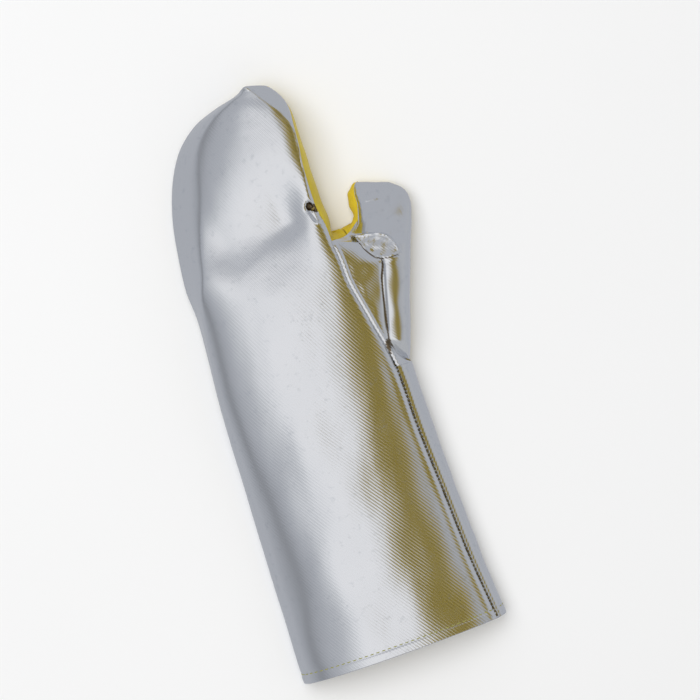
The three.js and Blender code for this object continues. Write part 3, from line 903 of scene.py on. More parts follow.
def operator(operation: str,
             flipped: bool = False) -> Callable[["Field", "Field | float"], "Field"]:
    """Method of a field that puts it and another value through one Math node.

    Args:
        operation: The node's operation.
        flipped: Whether the other value comes first, as in 1 - mask.

    Returns:
        The method.
    """
    def apply(self: "Field", other: "Field | float") -> "Field":
        """Adds the Math node."""
        return self._math(operation, *((other, self) if flipped else (self, other)))

    return apply


class Field:
    """A number that varies over a surface: a socket whose arithmetic adds Math nodes."""

    def __init__(self, tree: "Tree", socket: bpy.types.NodeSocket) -> None:
        """Keeps the socket and the tree that it is in."""
        self.tree = tree
        self.socket = socket

    def _math(self, operation: str, *values: "Field | float") -> "Field":
        """Adds one Math node."""
        return self.tree.add("ShaderNodeMath", {"operation": operation}, dict(enumerate(values)))

    __add__ = __radd__ = operator("ADD")
    __mul__ = __rmul__ = operator("MULTIPLY")
    __sub__, __rsub__ = operator("SUBTRACT"), operator("SUBTRACT", True)
    __truediv__, __rtruediv__ = operator("DIVIDE"), operator("DIVIDE", True)

    def __neg__(self) -> "Field":
        """This with its sign turned."""
        return self * -1.0

    def sine(self) -> "Field":
        """Sine of this."""
        return self._math("SINE", self)

    def step(self, start: float, end: float) -> "Field":
        """Smooth step of this from 0 at start to 1 at end."""
        inputs = {"Value": self, "From Min": start, "From Max": end}
        return self.tree.add("ShaderNodeMapRange", {"interpolation_type": "SMOOTHSTEP"}, inputs)


class Tree:
    """Node tree of a material or of the world, built by calls."""

    def __init__(self, owner: bpy.types.Material | bpy.types.World) -> None:
        """Empties the owner's node tree.

        Args:
            owner: The material or the world.
        """
        owner.use_nodes = True
        self.nodes = owner.node_tree.nodes
        self.links = owner.node_tree.links
        self.nodes.clear()

    def add(self, kind: str, settings: dict | None = None, inputs: dict | None = None,
            output: str | int = 0) -> Field:
        """Adds a node.

        Args:
            kind: Node type.
            settings: The node's own settings, set first; "stops" fills a colour ramp.
            inputs: Numbers, tuples or other sockets, by input name or number.
            output: Name or number of the output to hand back.

        Returns:
            The chosen output.
        """
        node = self.nodes.new(kind)
        for name, value in (settings or {}).items():
            if name == "stops":
                self._fill_ramp(node.color_ramp, value)
            else:
                setattr(node, name, value)
        for name, value in (inputs or {}).items():
            if isinstance(value, Field):
                self.links.new(node.inputs[name], value.socket)
            else:
                node.inputs[name].default_value = value
        return Field(self, node.outputs[output]) if node.outputs else Field(self, None)

    def _fill_ramp(self, ramp: bpy.types.ColorRamp, stops: Sequence[tuple]) -> None:
        """Sets a ramp's stops.

        Args:
            ramp: The ramp.
            stops: Its stops, each a place and a colour.
        """
        while len(ramp.elements) < len(stops):
            ramp.elements.new(1.0)
        for element, (place, colour) in zip(ramp.elements, stops):
            element.position = place
            element.color = (*colour, 1.0)

    def colours(self, share: Field | float, first: Colour | Field,
                second: Colour | Field) -> Field:
        """Mix of two colours."""
        sockets = {0: share, 6: rgba(first), 7: rgba(second)}
        return self.add("ShaderNodeMix", {"data_type": "RGBA"}, sockets, 2)

    def noise(self, where: Field, scale: float, detail: float = 2.0,
              roughness: float = 0.5) -> Field:
        """Noise of about 0 to 1 with a mean of a half."""
        inputs = {"Vector": where, "Scale": scale, "Detail": detail, "Roughness": roughness}
        return self.add("ShaderNodeTexNoise", {}, inputs)

    def parts(self, vector: Field) -> tuple[Field, Field, Field]:
        """The three numbers of a vector."""
        node = self.add("ShaderNodeSeparateXYZ", {}, {0: vector}).socket.node
        return tuple(Field(self, output) for output in node.outputs)

    def place(self) -> Field:
        """Place on the piece in metres."""
        return self.add("ShaderNodeTexCoord", {}, {}, "Object")

    def cloth(self) -> tuple[Field, Field]:
        """The piece's cloth coordinates in metres, across its ribs and along them."""
        return self.parts(self.add("ShaderNodeUVMap", {"uv_map": "cloth"}))[:2]

    def bump(self, height: Field, strength: float = 1.0) -> Field:
        """Normal that a height in metres tilts."""
        inputs = {"Strength": strength, "Distance": 1.0, "Height": height}
        return self.add("ShaderNodeBump", {}, inputs)

    def principled(self, inputs: dict) -> None:
        """Sends a Principled shader with these inputs to the material's output."""
        shader = self.add("ShaderNodeBsdfPrincipled", {}, inputs)
        self.add("ShaderNodeOutputMaterial", {}, {"Surface": shader})


def rgba(colour: Colour | Field) -> tuple | Field:
    """A colour with full alpha; a socket stays as it is."""
    return colour if isinstance(colour, Field) else (*colour, 1.0)


@dataclass(frozen=True)
class Finish(ABC):
    """Finish of a surface: a named material whose nodes its kind lays out.

    Pitches and heights are in millimetres, and the scales of noises in features per metre.
    """

    name: str

    @abstractmethod
    def lay(self, tree: Tree) -> None:
        """Adds the finish's nodes to an empty tree.

        Args:
            tree: The material's tree.
        """

    def make(self) -> bpy.types.Material:
        """Builds the finish.

        Returns:
            The new material.
        """
        material = bpy.data.materials.new(self.name)
        self.lay(Tree(material))
        return material


@dataclass(frozen=True)
class AluminizedFoil(Finish):
    """Bright foil bonded to a ribbed cloth, seen through every rib and cross thread."""

    name: str = "aluminized_foil"
    bright: Colour = (0.80, 0.81, 0.83)
    worn: Colour = (0.70, 0.72, 0.75)
    # Dark brown of the painted shade in the foil's creases
    crease_shade_colour: Colour = (0.16, 0.12, 0.07)
    rib_pitch: float = 1.80
    rib_height: float = 0.018
    rib_drift: float = 0.6
    thread_pitch: float = 0.95
    thread_height: float = 0.006
    crinkle: float = 0.060
    grain: float = 0.006
    drift_scale: float = 45.0
    patch_scale: float = 26.0
    crinkle_scale: float = 120.0
    grain_scale: float = 900.0
    scuff_scale: float = 210.0
    hand: Span = (0.02, 0.10)
    little_finger: Span = (-0.055, 0.0)
    scuffed: Span = (0.56, 0.72)
    crease_shade_span: Span = (0.3, 0.75)
    roughness: float = 0.14

    def firmness(self, tree: Tree, patch: Field, place: Field) -> Field:
        """How much of their height the ribs keep: less on the hand and on the far side of it.

        Args:
            tree: The material's tree.
            patch: Noise of the cloth's firmer patches.
            place: Place on the piece.

        Returns:
            A factor of about a quarter to 1.1.
        """
        to_thumb, up_glove, _ = tree.parts(place)
        firm = (patch.step(0.3, 0.7) * 0.35 + 0.75) * (1.0 - up_glove.step(*self.hand) * 0.5)
        return firm * (to_thumb.step(*self.little_finger) * 0.55 + 0.45)

    def lay(self, tree: Tree) -> None:
        """Adds the foil's nodes.

        Height is a sine of the cloth's first coordinate for the ribs, a finer sine of the
        second for the cross threads, and two noises for the crinkle of the foil. Scuffs dull
        the colour, and painted shade darkens it towards dark brown in the piece's creases.

        Args:
            tree: The material's tree.
        """
        across, along = tree.cloth()
        place = tree.place()
        wobble = (tree.noise(place, self.drift_scale, 1.0) - 0.5) * (self.rib_drift * MM)
        patch = tree.noise(place, self.patch_scale, 3.0)
        ribs = ((across + wobble) * (2 * math.pi / (self.rib_pitch * MM))).sine()
        threads = (along * (2 * math.pi / (self.thread_pitch * MM))).sine()
        crumple = tree.noise(place, self.crinkle_scale, 2.0, 0.45)
        grain = tree.noise(place, self.grain_scale, 2.0)
        height = (
            ribs * self.firmness(tree, patch, place) * (self.rib_height * MM)
            + threads * (self.thread_height * MM)
            + crumple * (self.crinkle * MM)
            + grain * (self.grain * MM)
        )
        scuffs = tree.noise(place, self.scuff_scale, 4.0, 0.6).step(*self.scuffed)
        colour = tree.colours(scuffs * 0.5 + (patch - 0.5) * 0.3 + 0.1, self.bright, self.worn)
        # Painted shade: the crease attribute, with the ribs and crinkle, darkens the colour in the
        # creases
        crease = tree.add("ShaderNodeAttribute", {"attribute_name": "crease"}, {}, "Fac")
        painted_crease_shade = crease * (ribs * 0.35 + 1.0) + (crumple - 0.5) * 0.5 * crease
        painted_crease_shade = painted_crease_shade.step(*self.crease_shade_span)
        tree.principled({
            "Base Color": tree.colours(painted_crease_shade, colour, self.crease_shade_colour),
            "Metallic": 1.0,
            "Roughness": patch * 0.06 + scuffs * 0.05 + self.roughness + painted_crease_shade * 0.1,
            "Normal": tree.bump(height),
        })


@dataclass(frozen=True)
class AramidFelt(Finish):
    """Soft yellow felt of the palm, with loose fibres and faint darker patches."""

    name: str = "aramid_felt"
    light: Colour = (0.70, 0.55, 0.045)
    dark: Colour = (0.62, 0.44, 0.015)
    fibre: float = 0.10
    tuft: float = 0.20
    fibre_stretch: Vector = (1.0, 0.35, 1.0)
    fibre_scale: float = 1400.0
    tuft_scale: float = 420.0
    patch_scale: float = 30.0
    sheen: Colour = (0.9, 0.85, 0.6)

    def lay(self, tree: Tree) -> None:
        """Adds the felt's nodes: two scales of noise for colour, stretched noise for fibres.

        Args:
            tree: The material's tree.
        """
        place = tree.place()
        stretch = {"Vector": place, "Scale": self.fibre_stretch}
        stretched = tree.add("ShaderNodeMapping", {}, stretch)
        fibres = tree.noise(stretched, self.fibre_scale, 3.0, 0.6)
        tufts = tree.noise(place, self.tuft_scale, 3.0, 0.55)
        patches = tree.noise(place, self.patch_scale, 2.0)
        shade = patches.step(0.35, 0.7) * 0.6 + (tufts - 0.5) * 0.9 + (fibres - 0.5) * 0.5
        height = fibres * (self.fibre * MM) + tufts * (self.tuft * MM)
        tree.principled({
            "Base Color": tree.colours(shade, self.light, self.dark),
            "Roughness": tufts * 0.12 + 0.84,
            "Normal": tree.bump(height, 0.9),
            "Sheen Weight": 0.25,
            "Sheen Roughness": 0.4,
            "Sheen Tint": rgba(self.sheen),
        })


@dataclass(frozen=True)
class BackingTwill(Finish):
    """Woven inner side of the silver cloth, a dull yellow twill."""

    name: str = "backing_twill"
    thread: Colour = (0.46, 0.36, 0.11)
    gap: Colour = (0.22, 0.16, 0.05)
    pitch: float = 1.2
    thread_height: float = 0.12
    slant: float = 0.5
    cross_pace: float = 1.4
    fuzz_scale: float = 1100.0

    def lay(self, tree: Tree) -> None:
        """Adds the twill's nodes: a sine across times a slanted sine of the cross threads.

        Args:
            tree: The material's tree.
        """
        across, along = tree.cloth()
        pace = 2 * math.pi / (self.pitch * MM)
        lines = (across * pace).sine()
        ends = ((along + across * self.slant) * (pace * self.cross_pace)).sine()
        fuzz = tree.noise(tree.place(), self.fuzz_scale, 3.0, 0.6)
        weave = (lines * 0.35 + 0.5) * (ends * 0.25 + 0.75) + (fuzz - 0.5) * 0.5
        tree.principled({
            "Base Color": tree.colours(weave, self.gap, self.thread),
            "Roughness": fuzz * 0.1 + 0.82,
            "Normal": tree.bump(weave * (self.thread_height * MM)),
        })


@dataclass(frozen=True)
class SewingThread(Finish):
    """Twisted sewing thread."""

    light: Colour
    dark: Colour
    ply_height: float = 0.08
    ply_scale: float = 1800.0

    def lay(self, tree: Tree) -> None:
        """Adds the thread's nodes: noise for the ply's light and dark, and for its roughness.

        Args:
            tree: The material's tree.
        """
        ply = tree.noise(tree.place(), self.ply_scale, 2.0)
        tree.principled({
            "Base Color": tree.colours(ply, self.dark, self.light),
            "Roughness": ply * 0.2 + 0.5,
            "Normal": tree.bump(ply * (self.ply_height * MM), 0.6),
        })


@dataclass(frozen=True)
class PaleFloor(Finish):
    """Even pale floor."""

    name: str = "pale_floor"
    darkest: Colour = (0.89, 0.89, 0.89)
    lightest: Colour = (0.92, 0.92, 0.92)
    scale: float = 3.0

    def lay(self, tree: Tree) -> None:
        """Adds the floor's nodes: a faint noise of two pale greys.

        Args:
            tree: The material's tree.
        """
        tone = tree.noise(tree.place(), self.scale, 2.0)
        colour = tree.colours(tone, self.darkest, self.lightest)
        tree.principled({"Base Color": colour, "Roughness": 0.9})


@dataclass(frozen=True)
class Finishes:
    """The materials that the panels and seams share."""

    foil: bpy.types.Material
    felt: bpy.types.Material
    backing: bpy.types.Material
    hem_thread: bpy.types.Material
    seam_thread_and_shade: bpy.types.Material


def make_finishes() -> Finishes:
    """Builds every material of the glove once.

    Returns:
        The materials.
    """
    return Finishes(
        AluminizedFoil().make(), AramidFelt().make(), BackingTwill().make(),
        SewingThread("hem_thread", (0.50, 0.48, 0.12), (0.24, 0.24, 0.07)).make(),
        # The seam's stitches are real thread; their near-black colour is painted shade of the puckers
        # between stitches
        SewingThread("seam_thread_and_shade", (0.20, 0.15, 0.05), (0.06, 0.045, 0.02)).make(),
    )


# Direction of the foil's ribs from the glove's axis, on the cuff and on the hand, where along
# the glove it changes, and the place about which the ribs turn
CUFF_RIBS = math.radians(53)
HAND_RIBS = math.radians(59.5)
RIB_TURN = (120.0, 240.0)
RIB_CENTRE = 180.0


def cloth_coordinates(across: Array, along: Array) -> Array:
    """Cloth coordinates in metres: the first runs across the ribs, the second along them.

    Both are the distances across and along turned by the ribs' angle, which changes smoothly
    from the cuff to the hand about the wrist seam.

    Args:
        across: Distance across from the glove's middle line, in millimetres.
        along: Distance along the glove, in millimetres.

    Returns:
        The two coordinates on a last axis.
    """
    angle = mix(CUFF_RIBS, HAND_RIBS, smooth(along, *RIB_TURN))
    c, s = np.cos(angle), np.sin(angle)
    far = along - RIB_CENTRE
    return np.stack([far * c + across * s, far * s - across * c], axis=-1) * MM


def across_from_middle(cloth: Cloth) -> Array:
    """Distance across, measured on the cloth, from the glove's middle line towards +X.

    Args:
        cloth: A cloth that crosses the line where x is 0.

    Returns:
        Distances in millimetres, one for each point.
    """
    x = cloth.points[..., 0]
    nearest = np.abs(x).argmin(axis=1)
    rows = np.arange(len(x))
    return (cloth.arc[rows, nearest] + x[rows, nearest])[:, None] - cloth.arc


def from_hem(cloth: Cloth) -> Array:
    """Distance along the glove from the hem's line, which the tube's first row gives.

    Args:
        cloth: A cloth that starts at the hem.

    Returns:
        Distances in millimetres, one for each point.
    """
    left_x, left_y, right_x, right_y = TUBE.rows[0, :4]
    x, y = cloth.points[..., 0], cloth.points[..., 1]
    return y - mix(left_y, right_y, (x - left_x) / (right_x - left_x))


def pucker(cloth: Cloth, share: float) -> Array:
    """Factor by which a seam swells and shrinks with its stitches, a sine of the place along."""
    return 1 + share * np.sin(2 * math.pi * cloth.points[..., 1] / SEAM_PITCH)


@dataclass(frozen=True)
class Band:
    """Raised band along a line, or a groove where its height is negative: a bell across it."""

    at: float
    width: float
    height: float = 1.0

    def over(self, distance: Array) -> Array:
        """Height at distances from the line."""
        return self.height * bell(distance, self.at, self.width)


@dataclass(frozen=True)
class Wrinkles:
    """Seeded undulation of a cloth."""

    height: float
    length: float
    seed: int

    def over(self, points: Array) -> Array:
        """Height at points of the cloth."""
        return self.height * ripple(points, self.length, self.seed)


# The turned hem's roll and the groove of its stitches, on round cloth and on the flat
# underside, and the distances from the hem over which wrinkles set in
HEM_ROLL = Band(3.0, 2.4, 0.35)
HEM_GROOVE = Band(HEM_STITCHES, 0.8, -0.45)
FLAT_HEM_GROOVE = Band(HEM_STITCHES, 0.8, -0.78)
HEM_CALM = (2, 12)


@dataclass(frozen=True)
class Pocket:
    """Leaf-shaped fold of slack cloth: a level leaf between two tips that overhangs one side."""

    start: Spot = (47.0, 268.0)
    end: Spot = (75.5, 246.5)
    half_width: float = 8.4
    middle: float = 1.8
    height: float = 28.0
    rise: float = 0.06
    fall: float = 0.14
    power: float = 1.3
    lean: float = 0.0
    rim: Band = Band(0.9, 0.6, 0.35)
    crinkles: tuple[Wrinkles, ...] = (Wrinkles(0.09, 6.5, 33), Wrinkles(0.027, 2.6, 34))
    edge: Span = (-0.2, 0.7)
    lean_edge: Span = (-0.5, 2.0)
    outline: Band = Band(-0.1, 0.7)
    lower_side: Span = (-2.5, -0.5)

    def inside(self, points: Array) -> tuple[Array, Array]:
        """Distance inside the leaf's outline, and height of the leaf's own plane.

        The half-width is a sine of a power of the share along the leaf, which puts its widest
        place nearer the end. The plane rises along the leaf and falls across it.

        Args:
            points: Points of a cloth.

        Returns:
            Distances, below 0 outside the outline, and heights, all in millimetres.
        """
        along, left, past = beside(self.start, self.end, points)
        share = np.clip(along / math.dist(self.start, self.end), 0, 1)
        leaf = np.sin(math.pi * share**self.power)
        plane = self.height + self.rise * along - self.fall * left
        return self.half_width * leaf - np.abs(left - self.middle) - past, plane

    def level(self, points: Array) -> Array:
        """Moves the points inside the outline to the leaf's crinkled plane.

        Args:
            points: Points of a cloth.

        Returns:
            The points, those inside leaning out along X by up to the pocket's lean.
        """
        depth, plane = self.inside(points)
        plane = plane + sum(crinkle.over(points) for crinkle in self.crinkles)
        x, y, z = np.moveaxis(points, -1, 0)
        z = mix(z, plane + self.rim.over(depth), smooth(depth, *self.edge))
        return stack(x + self.lean * smooth(depth, *self.lean_edge), y, z)

    def outline_at(self, points: Array) -> Array:
        """How near points are to the outline's lower side, for the painted shadow under the leaf's
        edge: 1 on it and 0 a little way off.

        Args:
            points: Points of a cloth.

        Returns:
            Shares from 0 to 1.
        """
        left = beside(self.start, self.end, points)[1] - self.middle
        near = self.outline.over(self.inside(points)[0])
        return near * (1 - smooth(left, *self.lower_side))


@dataclass
class Panel(ABC):
    """Panel of cloth: a closed shell over a surface whose two numbers run across and along it.

    Rows of its grid are measured at one share across, and have one row on each break. Each
    stretch across has its own number of spaces. Every kind of panel adds its surface and the
    small shapes on it.
    """

    name: str
    node: str
    stretches: tuple[float, ...]
    counts: tuple[int, ...]
    breaks: tuple[float, ...]
    step: float
    measured_at: float
    fine: int
    cloth: Cloth = field(init=False)
    slot: ClassVar[Slot]

    @abstractmethod
    def surface(self, across: Array, place: Array) -> Array:
        """Points of the smooth panel, in millimetres.

        Args:
            across: Shares across the panel, from 0 to 1.
            place: Places along it, in rows of its section table.

        Returns:
            Points with a last axis of three.
        """

    @abstractmethod
    def lift(self, plain: Cloth) -> Array:
        """Small shapes of the panel.

        Args:
            plain: The smooth panel.

        Returns:
            Height over the smooth panel for each point, in millimetres.
        """

    @abstractmethod
    def thickness(self) -> Array:
        """Wall of each row in millimetres."""

    @abstractmethod
    def coordinates(self, plain: Cloth) -> Array:
        """Cloth coordinates in metres of each point of the smooth panel."""

    @abstractmethod
    def dress(self, piece: bpy.types.Object, finishes: Finishes) -> None:
        """Gives the shell's outer and inner side their finishes."""

    def shaped(self, plain: Cloth) -> Cloth:
        """The smooth panel with its small shapes."""
        return plain.moved(self.lift(plain))

    def crease(self, plain: Cloth) -> Array | None:
        """How much painted crease shade each point of the smooth panel takes, or None without any."""
        return None

    def build(self) -> bpy.types.Object:
        """Builds the panel's shell in the place of its solid.

        Returns:
            The new object.
        """
        places = even_places(self.surface, self.measured_at, self.breaks, self.step)
        plain = lay_cloth(self.surface, self.stretches, self.counts, places, self.fine)
        self.cloth = self.shaped(plain)
        piece = make_shell(self.name, self.cloth, self.thickness(), self.coordinates(plain),
                           self.slot, self.crease(plain))
        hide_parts(self.node)
        return piece


@dataclass
class SilverPanel(Panel):
    """Panel of aluminized cloth, thicker where its hem is turned."""

    hem_column: int = 0
    slot: ClassVar[Slot] = Slot.FOIL

    @abstractmethod
    def across(self, plain: Cloth) -> Array:
        """Distance across, measured on the smooth panel, that its ribs are laid out by."""

    def thickness(self) -> Array:
        """Wall of each row: the turned hem's below its fold, and the cloth's above it."""
        hem = self.cloth.points[:, self.hem_column, 1] < HEM_FOLD
        return np.where(hem, HEM_CLOTH, FOIL_CLOTH)

    def coordinates(self, plain: Cloth) -> Array:
        """Cloth coordinates that turn with the ribs."""
        return cloth_coordinates(self.across(plain), self.cloth.points[..., 1])

    def dress(self, piece: bpy.types.Object, finishes: Finishes) -> None:
        """Foil outside, twill inside."""
        piece.data.materials[0] = finishes.foil
        piece.data.materials[1] = finishes.backing


@dataclass
class YellowPanel(Panel):
    """Panel of aramid felt."""

    slot: ClassVar[Slot] = Slot.ARAMID

    def thickness(self) -> Array:
        """The same wall in every row."""
        return np.full(len(self.cloth.places), PALM_CLOTH)

    def coordinates(self, plain: Cloth) -> Array:
        """Cloth coordinates: distance across and place along."""
        return np.stack([plain.arc, self.cloth.points[..., 1]], axis=-1) * MM

    def dress(self, piece: bpy.types.Object, finishes: Finishes) -> None:
        """Felt on both sides."""
        piece.data.materials[0] = finishes.felt
        piece.data.materials[1] = finishes.felt


@dataclass
class BackPanel(SilverPanel):
    """Silver cloth over the back of the hand and the cuff, from the hem to the fingertip."""

    name: str = "back_of_glove"
    node: str = "back_panel"
    stretches: tuple[float, ...] = (0, 0.25, 1)
    counts: tuple[int, ...] = (56, 84)
    breaks: tuple[float, ...] = (0, WRIST, CROTCH, TUBE.last)
    step: float = 1.3
    measured_at: float = 0.5
    fine: int = 96
    hem_column: int = 56
    cuff_end: Span = (165, 200)
    tip_start: Span = (285, 300)
    cuff_groove: Band = Band(0, 1.7, -1.7)
    hand_groove: Band = Band(0, 1.7, -0.55)
    tip_flat: float = 0.85
    cuff_swell: Band = Band(4.4, 2.4, 0.55)
    tip_edge: Band = Band(0.8, 0.6, 0.3)
    side_groove: Band = Band(0, 1.5, -0.8)
    hand_wrinkles: Wrinkles = Wrinkles(0.10, 44, 3)
    cuff_wrinkles: Wrinkles = Wrinkles(0.24, 44, 3)
    fine_wrinkles: Wrinkles = Wrinkles(0.02, 14, 4)
    calm: Span = (2, 14)
    closing: Span = (TUBE.last - 1.4, TUBE.last - 0.6)
    valley: Fold = Fold((28.5, 294.8), (33.4, 291.8), 2.3, 2.6, 1.8)
    valley_from: Span = (0, 1.5)
    lip_from: Span = (3, 6)
    lip: Pocket = Pocket(
        start=(25.8, 293.1), end=(36.0, 282.0), half_width=3.7, middle=-0.2, height=38.0,
        rise=-0.02, fall=0.0, lean=2.0, rim=Band(0.9, 0.6, 0.0), crinkles=(),
    )
    # Painted shade: the foil is darkened in the hollow beside the seam
    hollow_shade: Fold = Fold((27.6, 295.2), (33.4, 292.0), 2.1, 1.5, 1.2)

    def surface(self, across: Array, place: Array) -> Array:
        """The tube from the index seam over the crown to the seam under the other edge."""
        return tube_point(place, mix(TUBE.at(place)["seam_angle"], SIDE_SEAM_ANGLE, across))

    def across(self, plain: Cloth) -> Array:
        """Distance across from the glove's middle line."""
        return across_from_middle(plain)

    def lift(self, plain: Cloth) -> Array:
        """Grooves and swell of the seams, the hem, wrinkles and the valley of the dent.

        All fade out on the last rows, where the panel closes at the fingertip.

        Args:
            plain: The smooth panel.

        Returns:
            Height over the smooth panel for each point, in millimetres.
        """
        points, seam_y = plain.points, plain.points[:, :1, 1]
        near, far, hem = plain.from_first(), plain.from_last(), from_hem(plain)
        cuff = 1 - smooth(seam_y, *self.cuff_end)
        tip = smooth(seam_y, *self.tip_start)
        sewn = pucker(plain, SEAM_PUCKER)
        groove = mix(self.hand_groove.over(near), self.cuff_groove.over(near), cuff)
        lift = groove * (1 - self.tip_flat * tip) * sewn
        lift += self.cuff_swell.over(near) * cuff * sewn + self.tip_edge.over(near) * tip
        lift += self.side_groove.over(far) + HEM_ROLL.over(hem) + HEM_GROOVE.over(hem)
        calm = smooth(near, *self.calm) * smooth(far, *self.calm) * smooth(hem, *HEM_CALM)
        broad = mix(self.hand_wrinkles.over(points), self.cuff_wrinkles.over(points), cuff)
        lift += calm * (broad + self.fine_wrinkles.over(points))
        lift -= self.valley.depth_at(points) * smooth(near, *self.valley_from)
        return lift * (1 - smooth(plain.places, *self.closing))[:, None]

    def shaped(self, plain: Cloth) -> Cloth:
        """The smooth panel with its small shapes, and away from its edge the lip of the dent.

        Args:
            plain: The smooth panel.

        Returns:
            The shaped cloth.
        """
        cloth = plain.moved(self.lift(plain))
        share = smooth(cloth.from_first(), *self.lip_from)[..., None]
        return cloth.at(mix(cloth.points, self.lip.level(cloth.points), share))

    def crease(self, plain: Cloth) -> Array:
        """Painted shade in the hollow beside the seam."""
        return self.hollow_shade.depth_at(plain.points)


@dataclass
class CuffUnderside(SilverPanel):
    """Silver cloth under the cuff, rolled up round the thumb side to the index seam."""

    name: str = "underside_of_cuff"
    node: str = "cuff_underside"
    stretches: tuple[float, ...] = (0, 0.12, 0.6, 0.8, 1)
    counts: tuple[int, ...] = (10, 44, 16, 26)
    breaks: tuple[float, ...] = (0, WRIST)
    step: float = 1.5
    measured_at: float = 0.3
    fine: int = 48
    hem_column: int = 40
    seam_across: float = 62.0
    index_groove: Band = Band(0, 1.5, -0.7)
    index_swell: Band = Band(4.6, 3.4, 0.3)
    side_groove: Band = Band(0, 1.5, -0.8)
    wrinkles: Wrinkles = Wrinkles(0.16, 26, 9)
    calm: Span = (2, 10)
    off_floor: Span = (0.5, 8)

    def surface(self, across: Array, place: Array) -> Array:
        """The tube's underside: little-finger roll, flat, thumb-side roll, and up the side.

        Args:
            across: Shares across the panel.
            place: Places in the tube's rows.

        Returns:
            Points in millimetres.
        """
        s = self.stretches
        angle = np.select(
            [across <= s[1], across <= s[3]],
            [
                mix(SIDE_SEAM_ANGLE, 270, across / s[1]),
                mix(-90, 0, (across - s[2]) / (s[3] - s[2])),
            ],
            TUBE.at(place)["seam_angle"] * (across - s[3]) / (s[4] - s[3]),
        )
        round_side = tube_point(place, angle)
        share = ((across - s[1]) / (s[2] - s[1]))[..., None]
        flat = mix(tube_point(place, 270), tube_point(place, -90), share)
        return chosen((across > s[1]) & (across < s[2]), flat, round_side)

    def across(self, plain: Cloth) -> Array:
        """Distance across from the middle line, from which the index seam is a known way off."""
        return plain.arc - plain.arc[:, -1:] + self.seam_across

    def lift(self, plain: Cloth) -> Array:
        """Grooves along both seams, the turned hem, and small wrinkles of the side.

        Args:
            plain: The smooth panel.

        Returns:
            Height over the smooth panel for each point, in millimetres.
        """
        near, far, hem = plain.from_first(), plain.from_last(), from_hem(plain)
        lift = self.index_groove.over(far) + self.index_swell.over(far)
        lift = lift * pucker(plain, SEAM_PUCKER) + self.side_groove.over(near)
        up = smooth(plain.points[..., 2], *self.off_floor)
        lift += up * HEM_ROLL.over(hem) + mix(FLAT_HEM_GROOVE.over(hem), HEM_GROOVE.over(hem), up)
        calm = smooth(far, *self.calm) * smooth(hem, *HEM_CALM)
        return lift + up * calm * self.wrinkles.over(plain.points)


@dataclass
class PalmPanel(YellowPanel):
    """Yellow felt under the hand, from the wrist seam to the fingertip."""

    name: str = "palm_of_glove"
    node: str = "palm_panel"
    stretches: tuple[float, ...] = (0, 0.12, 0.7, 1)
    counts: tuple[int, ...] = (10, 34, 34)
    breaks: tuple[float, ...] = (WRIST, CROTCH, PALM_CLEFT, PALM_CROTCH, TUBE.last)
    step: float = 1.6
    measured_at: float = 0.85
    fine: int = 48
    side_groove: Band = Band(0, 1.5, -0.6)
    index_groove: Band = Band(0, 1.4, -0.5)
    wrinkles: Wrinkles = Wrinkles(0.12, 18, 12)
    calm: Span = (1, 6)

    def edge(self, place: Array) -> Array:
        """Thumb-side edge: the palm seam, the web's free edge, then the index seam to the tip.

        The rows reach the index seam a little late and are even with the tube's further up.

        Args:
            place: Places in the tube's rows.

        Returns:
            Points in millimetres.
        """
        flat = flat_seam((place - WRIST) / (CROTCH - WRIST))
        climb = climb_seam((place - CROTCH) / (PALM_CLEFT - CROTCH))
        share = (place - PALM_CLEFT) / (PALM_CROTCH - PALM_CLEFT)
        web = silver_edge(mix(CLEFT_ROW, WEB_TOP, np.clip(share, 0, 1)))
        late = (PALM_CROTCH - CROTCH) * (1 - smooth(place, PALM_CROTCH, PALM_EVEN))
        seam = index_seam(np.maximum(place - late, WRIST))
        sewn = chosen(place <= PALM_CROTCH, web, seam)
        sewn = raised(sewn, -TUCK * (1 - smooth(place, PALM_CROTCH, TUCK_END)))
        return chosen(place <= CROTCH, flat, chosen(place <= PALM_CLEFT, climb, sewn))

    def surface(self, across: Array, place: Array) -> Array:
        """Little-finger roll, flat palm, then the roll up to the thumb-side edge.

        Args:
            across: Shares across the panel.
            place: Places in the tube's rows.

        Returns:
            Points in millimetres.
        """
        s = self.stretches
        roll = PALM_ROLL.at(place)
        floor, edge = TUBE.at(place)["floor"], self.edge(place)
        side = tube_point(place, mix(SIDE_SEAM_ANGLE, 270, np.clip(across / s[1], 0, 1)))
        share = ((across - s[1]) / (s[2] - s[1]))[..., None]
        flat = mix(tube_point(place, 270), off_edge(edge, roll, "foot", floor), share)
        up = rolled_up(edge, floor, roll, np.clip((across - s[2]) / (s[3] - s[2]), 0, 1))
        return chosen(across <= s[1], side, chosen(across <= s[2], flat, up))

    def lift(self, plain: Cloth) -> Array:
        """Grooves along the sewn edges and wrinkles of the roll.

        Args:
            plain: The smooth panel.

        Returns:
            Height over the smooth panel for each point, in millimetres.
        """
        near, far = plain.from_first(), plain.from_last()
        up = smooth(plain.points[..., 2], *OFF_FLOOR)
        lift = self.side_groove.over(near) + up * self.index_groove.over(far)
        return lift + up * self.wrinkles.over(plain.points) * smooth(far, *self.calm)


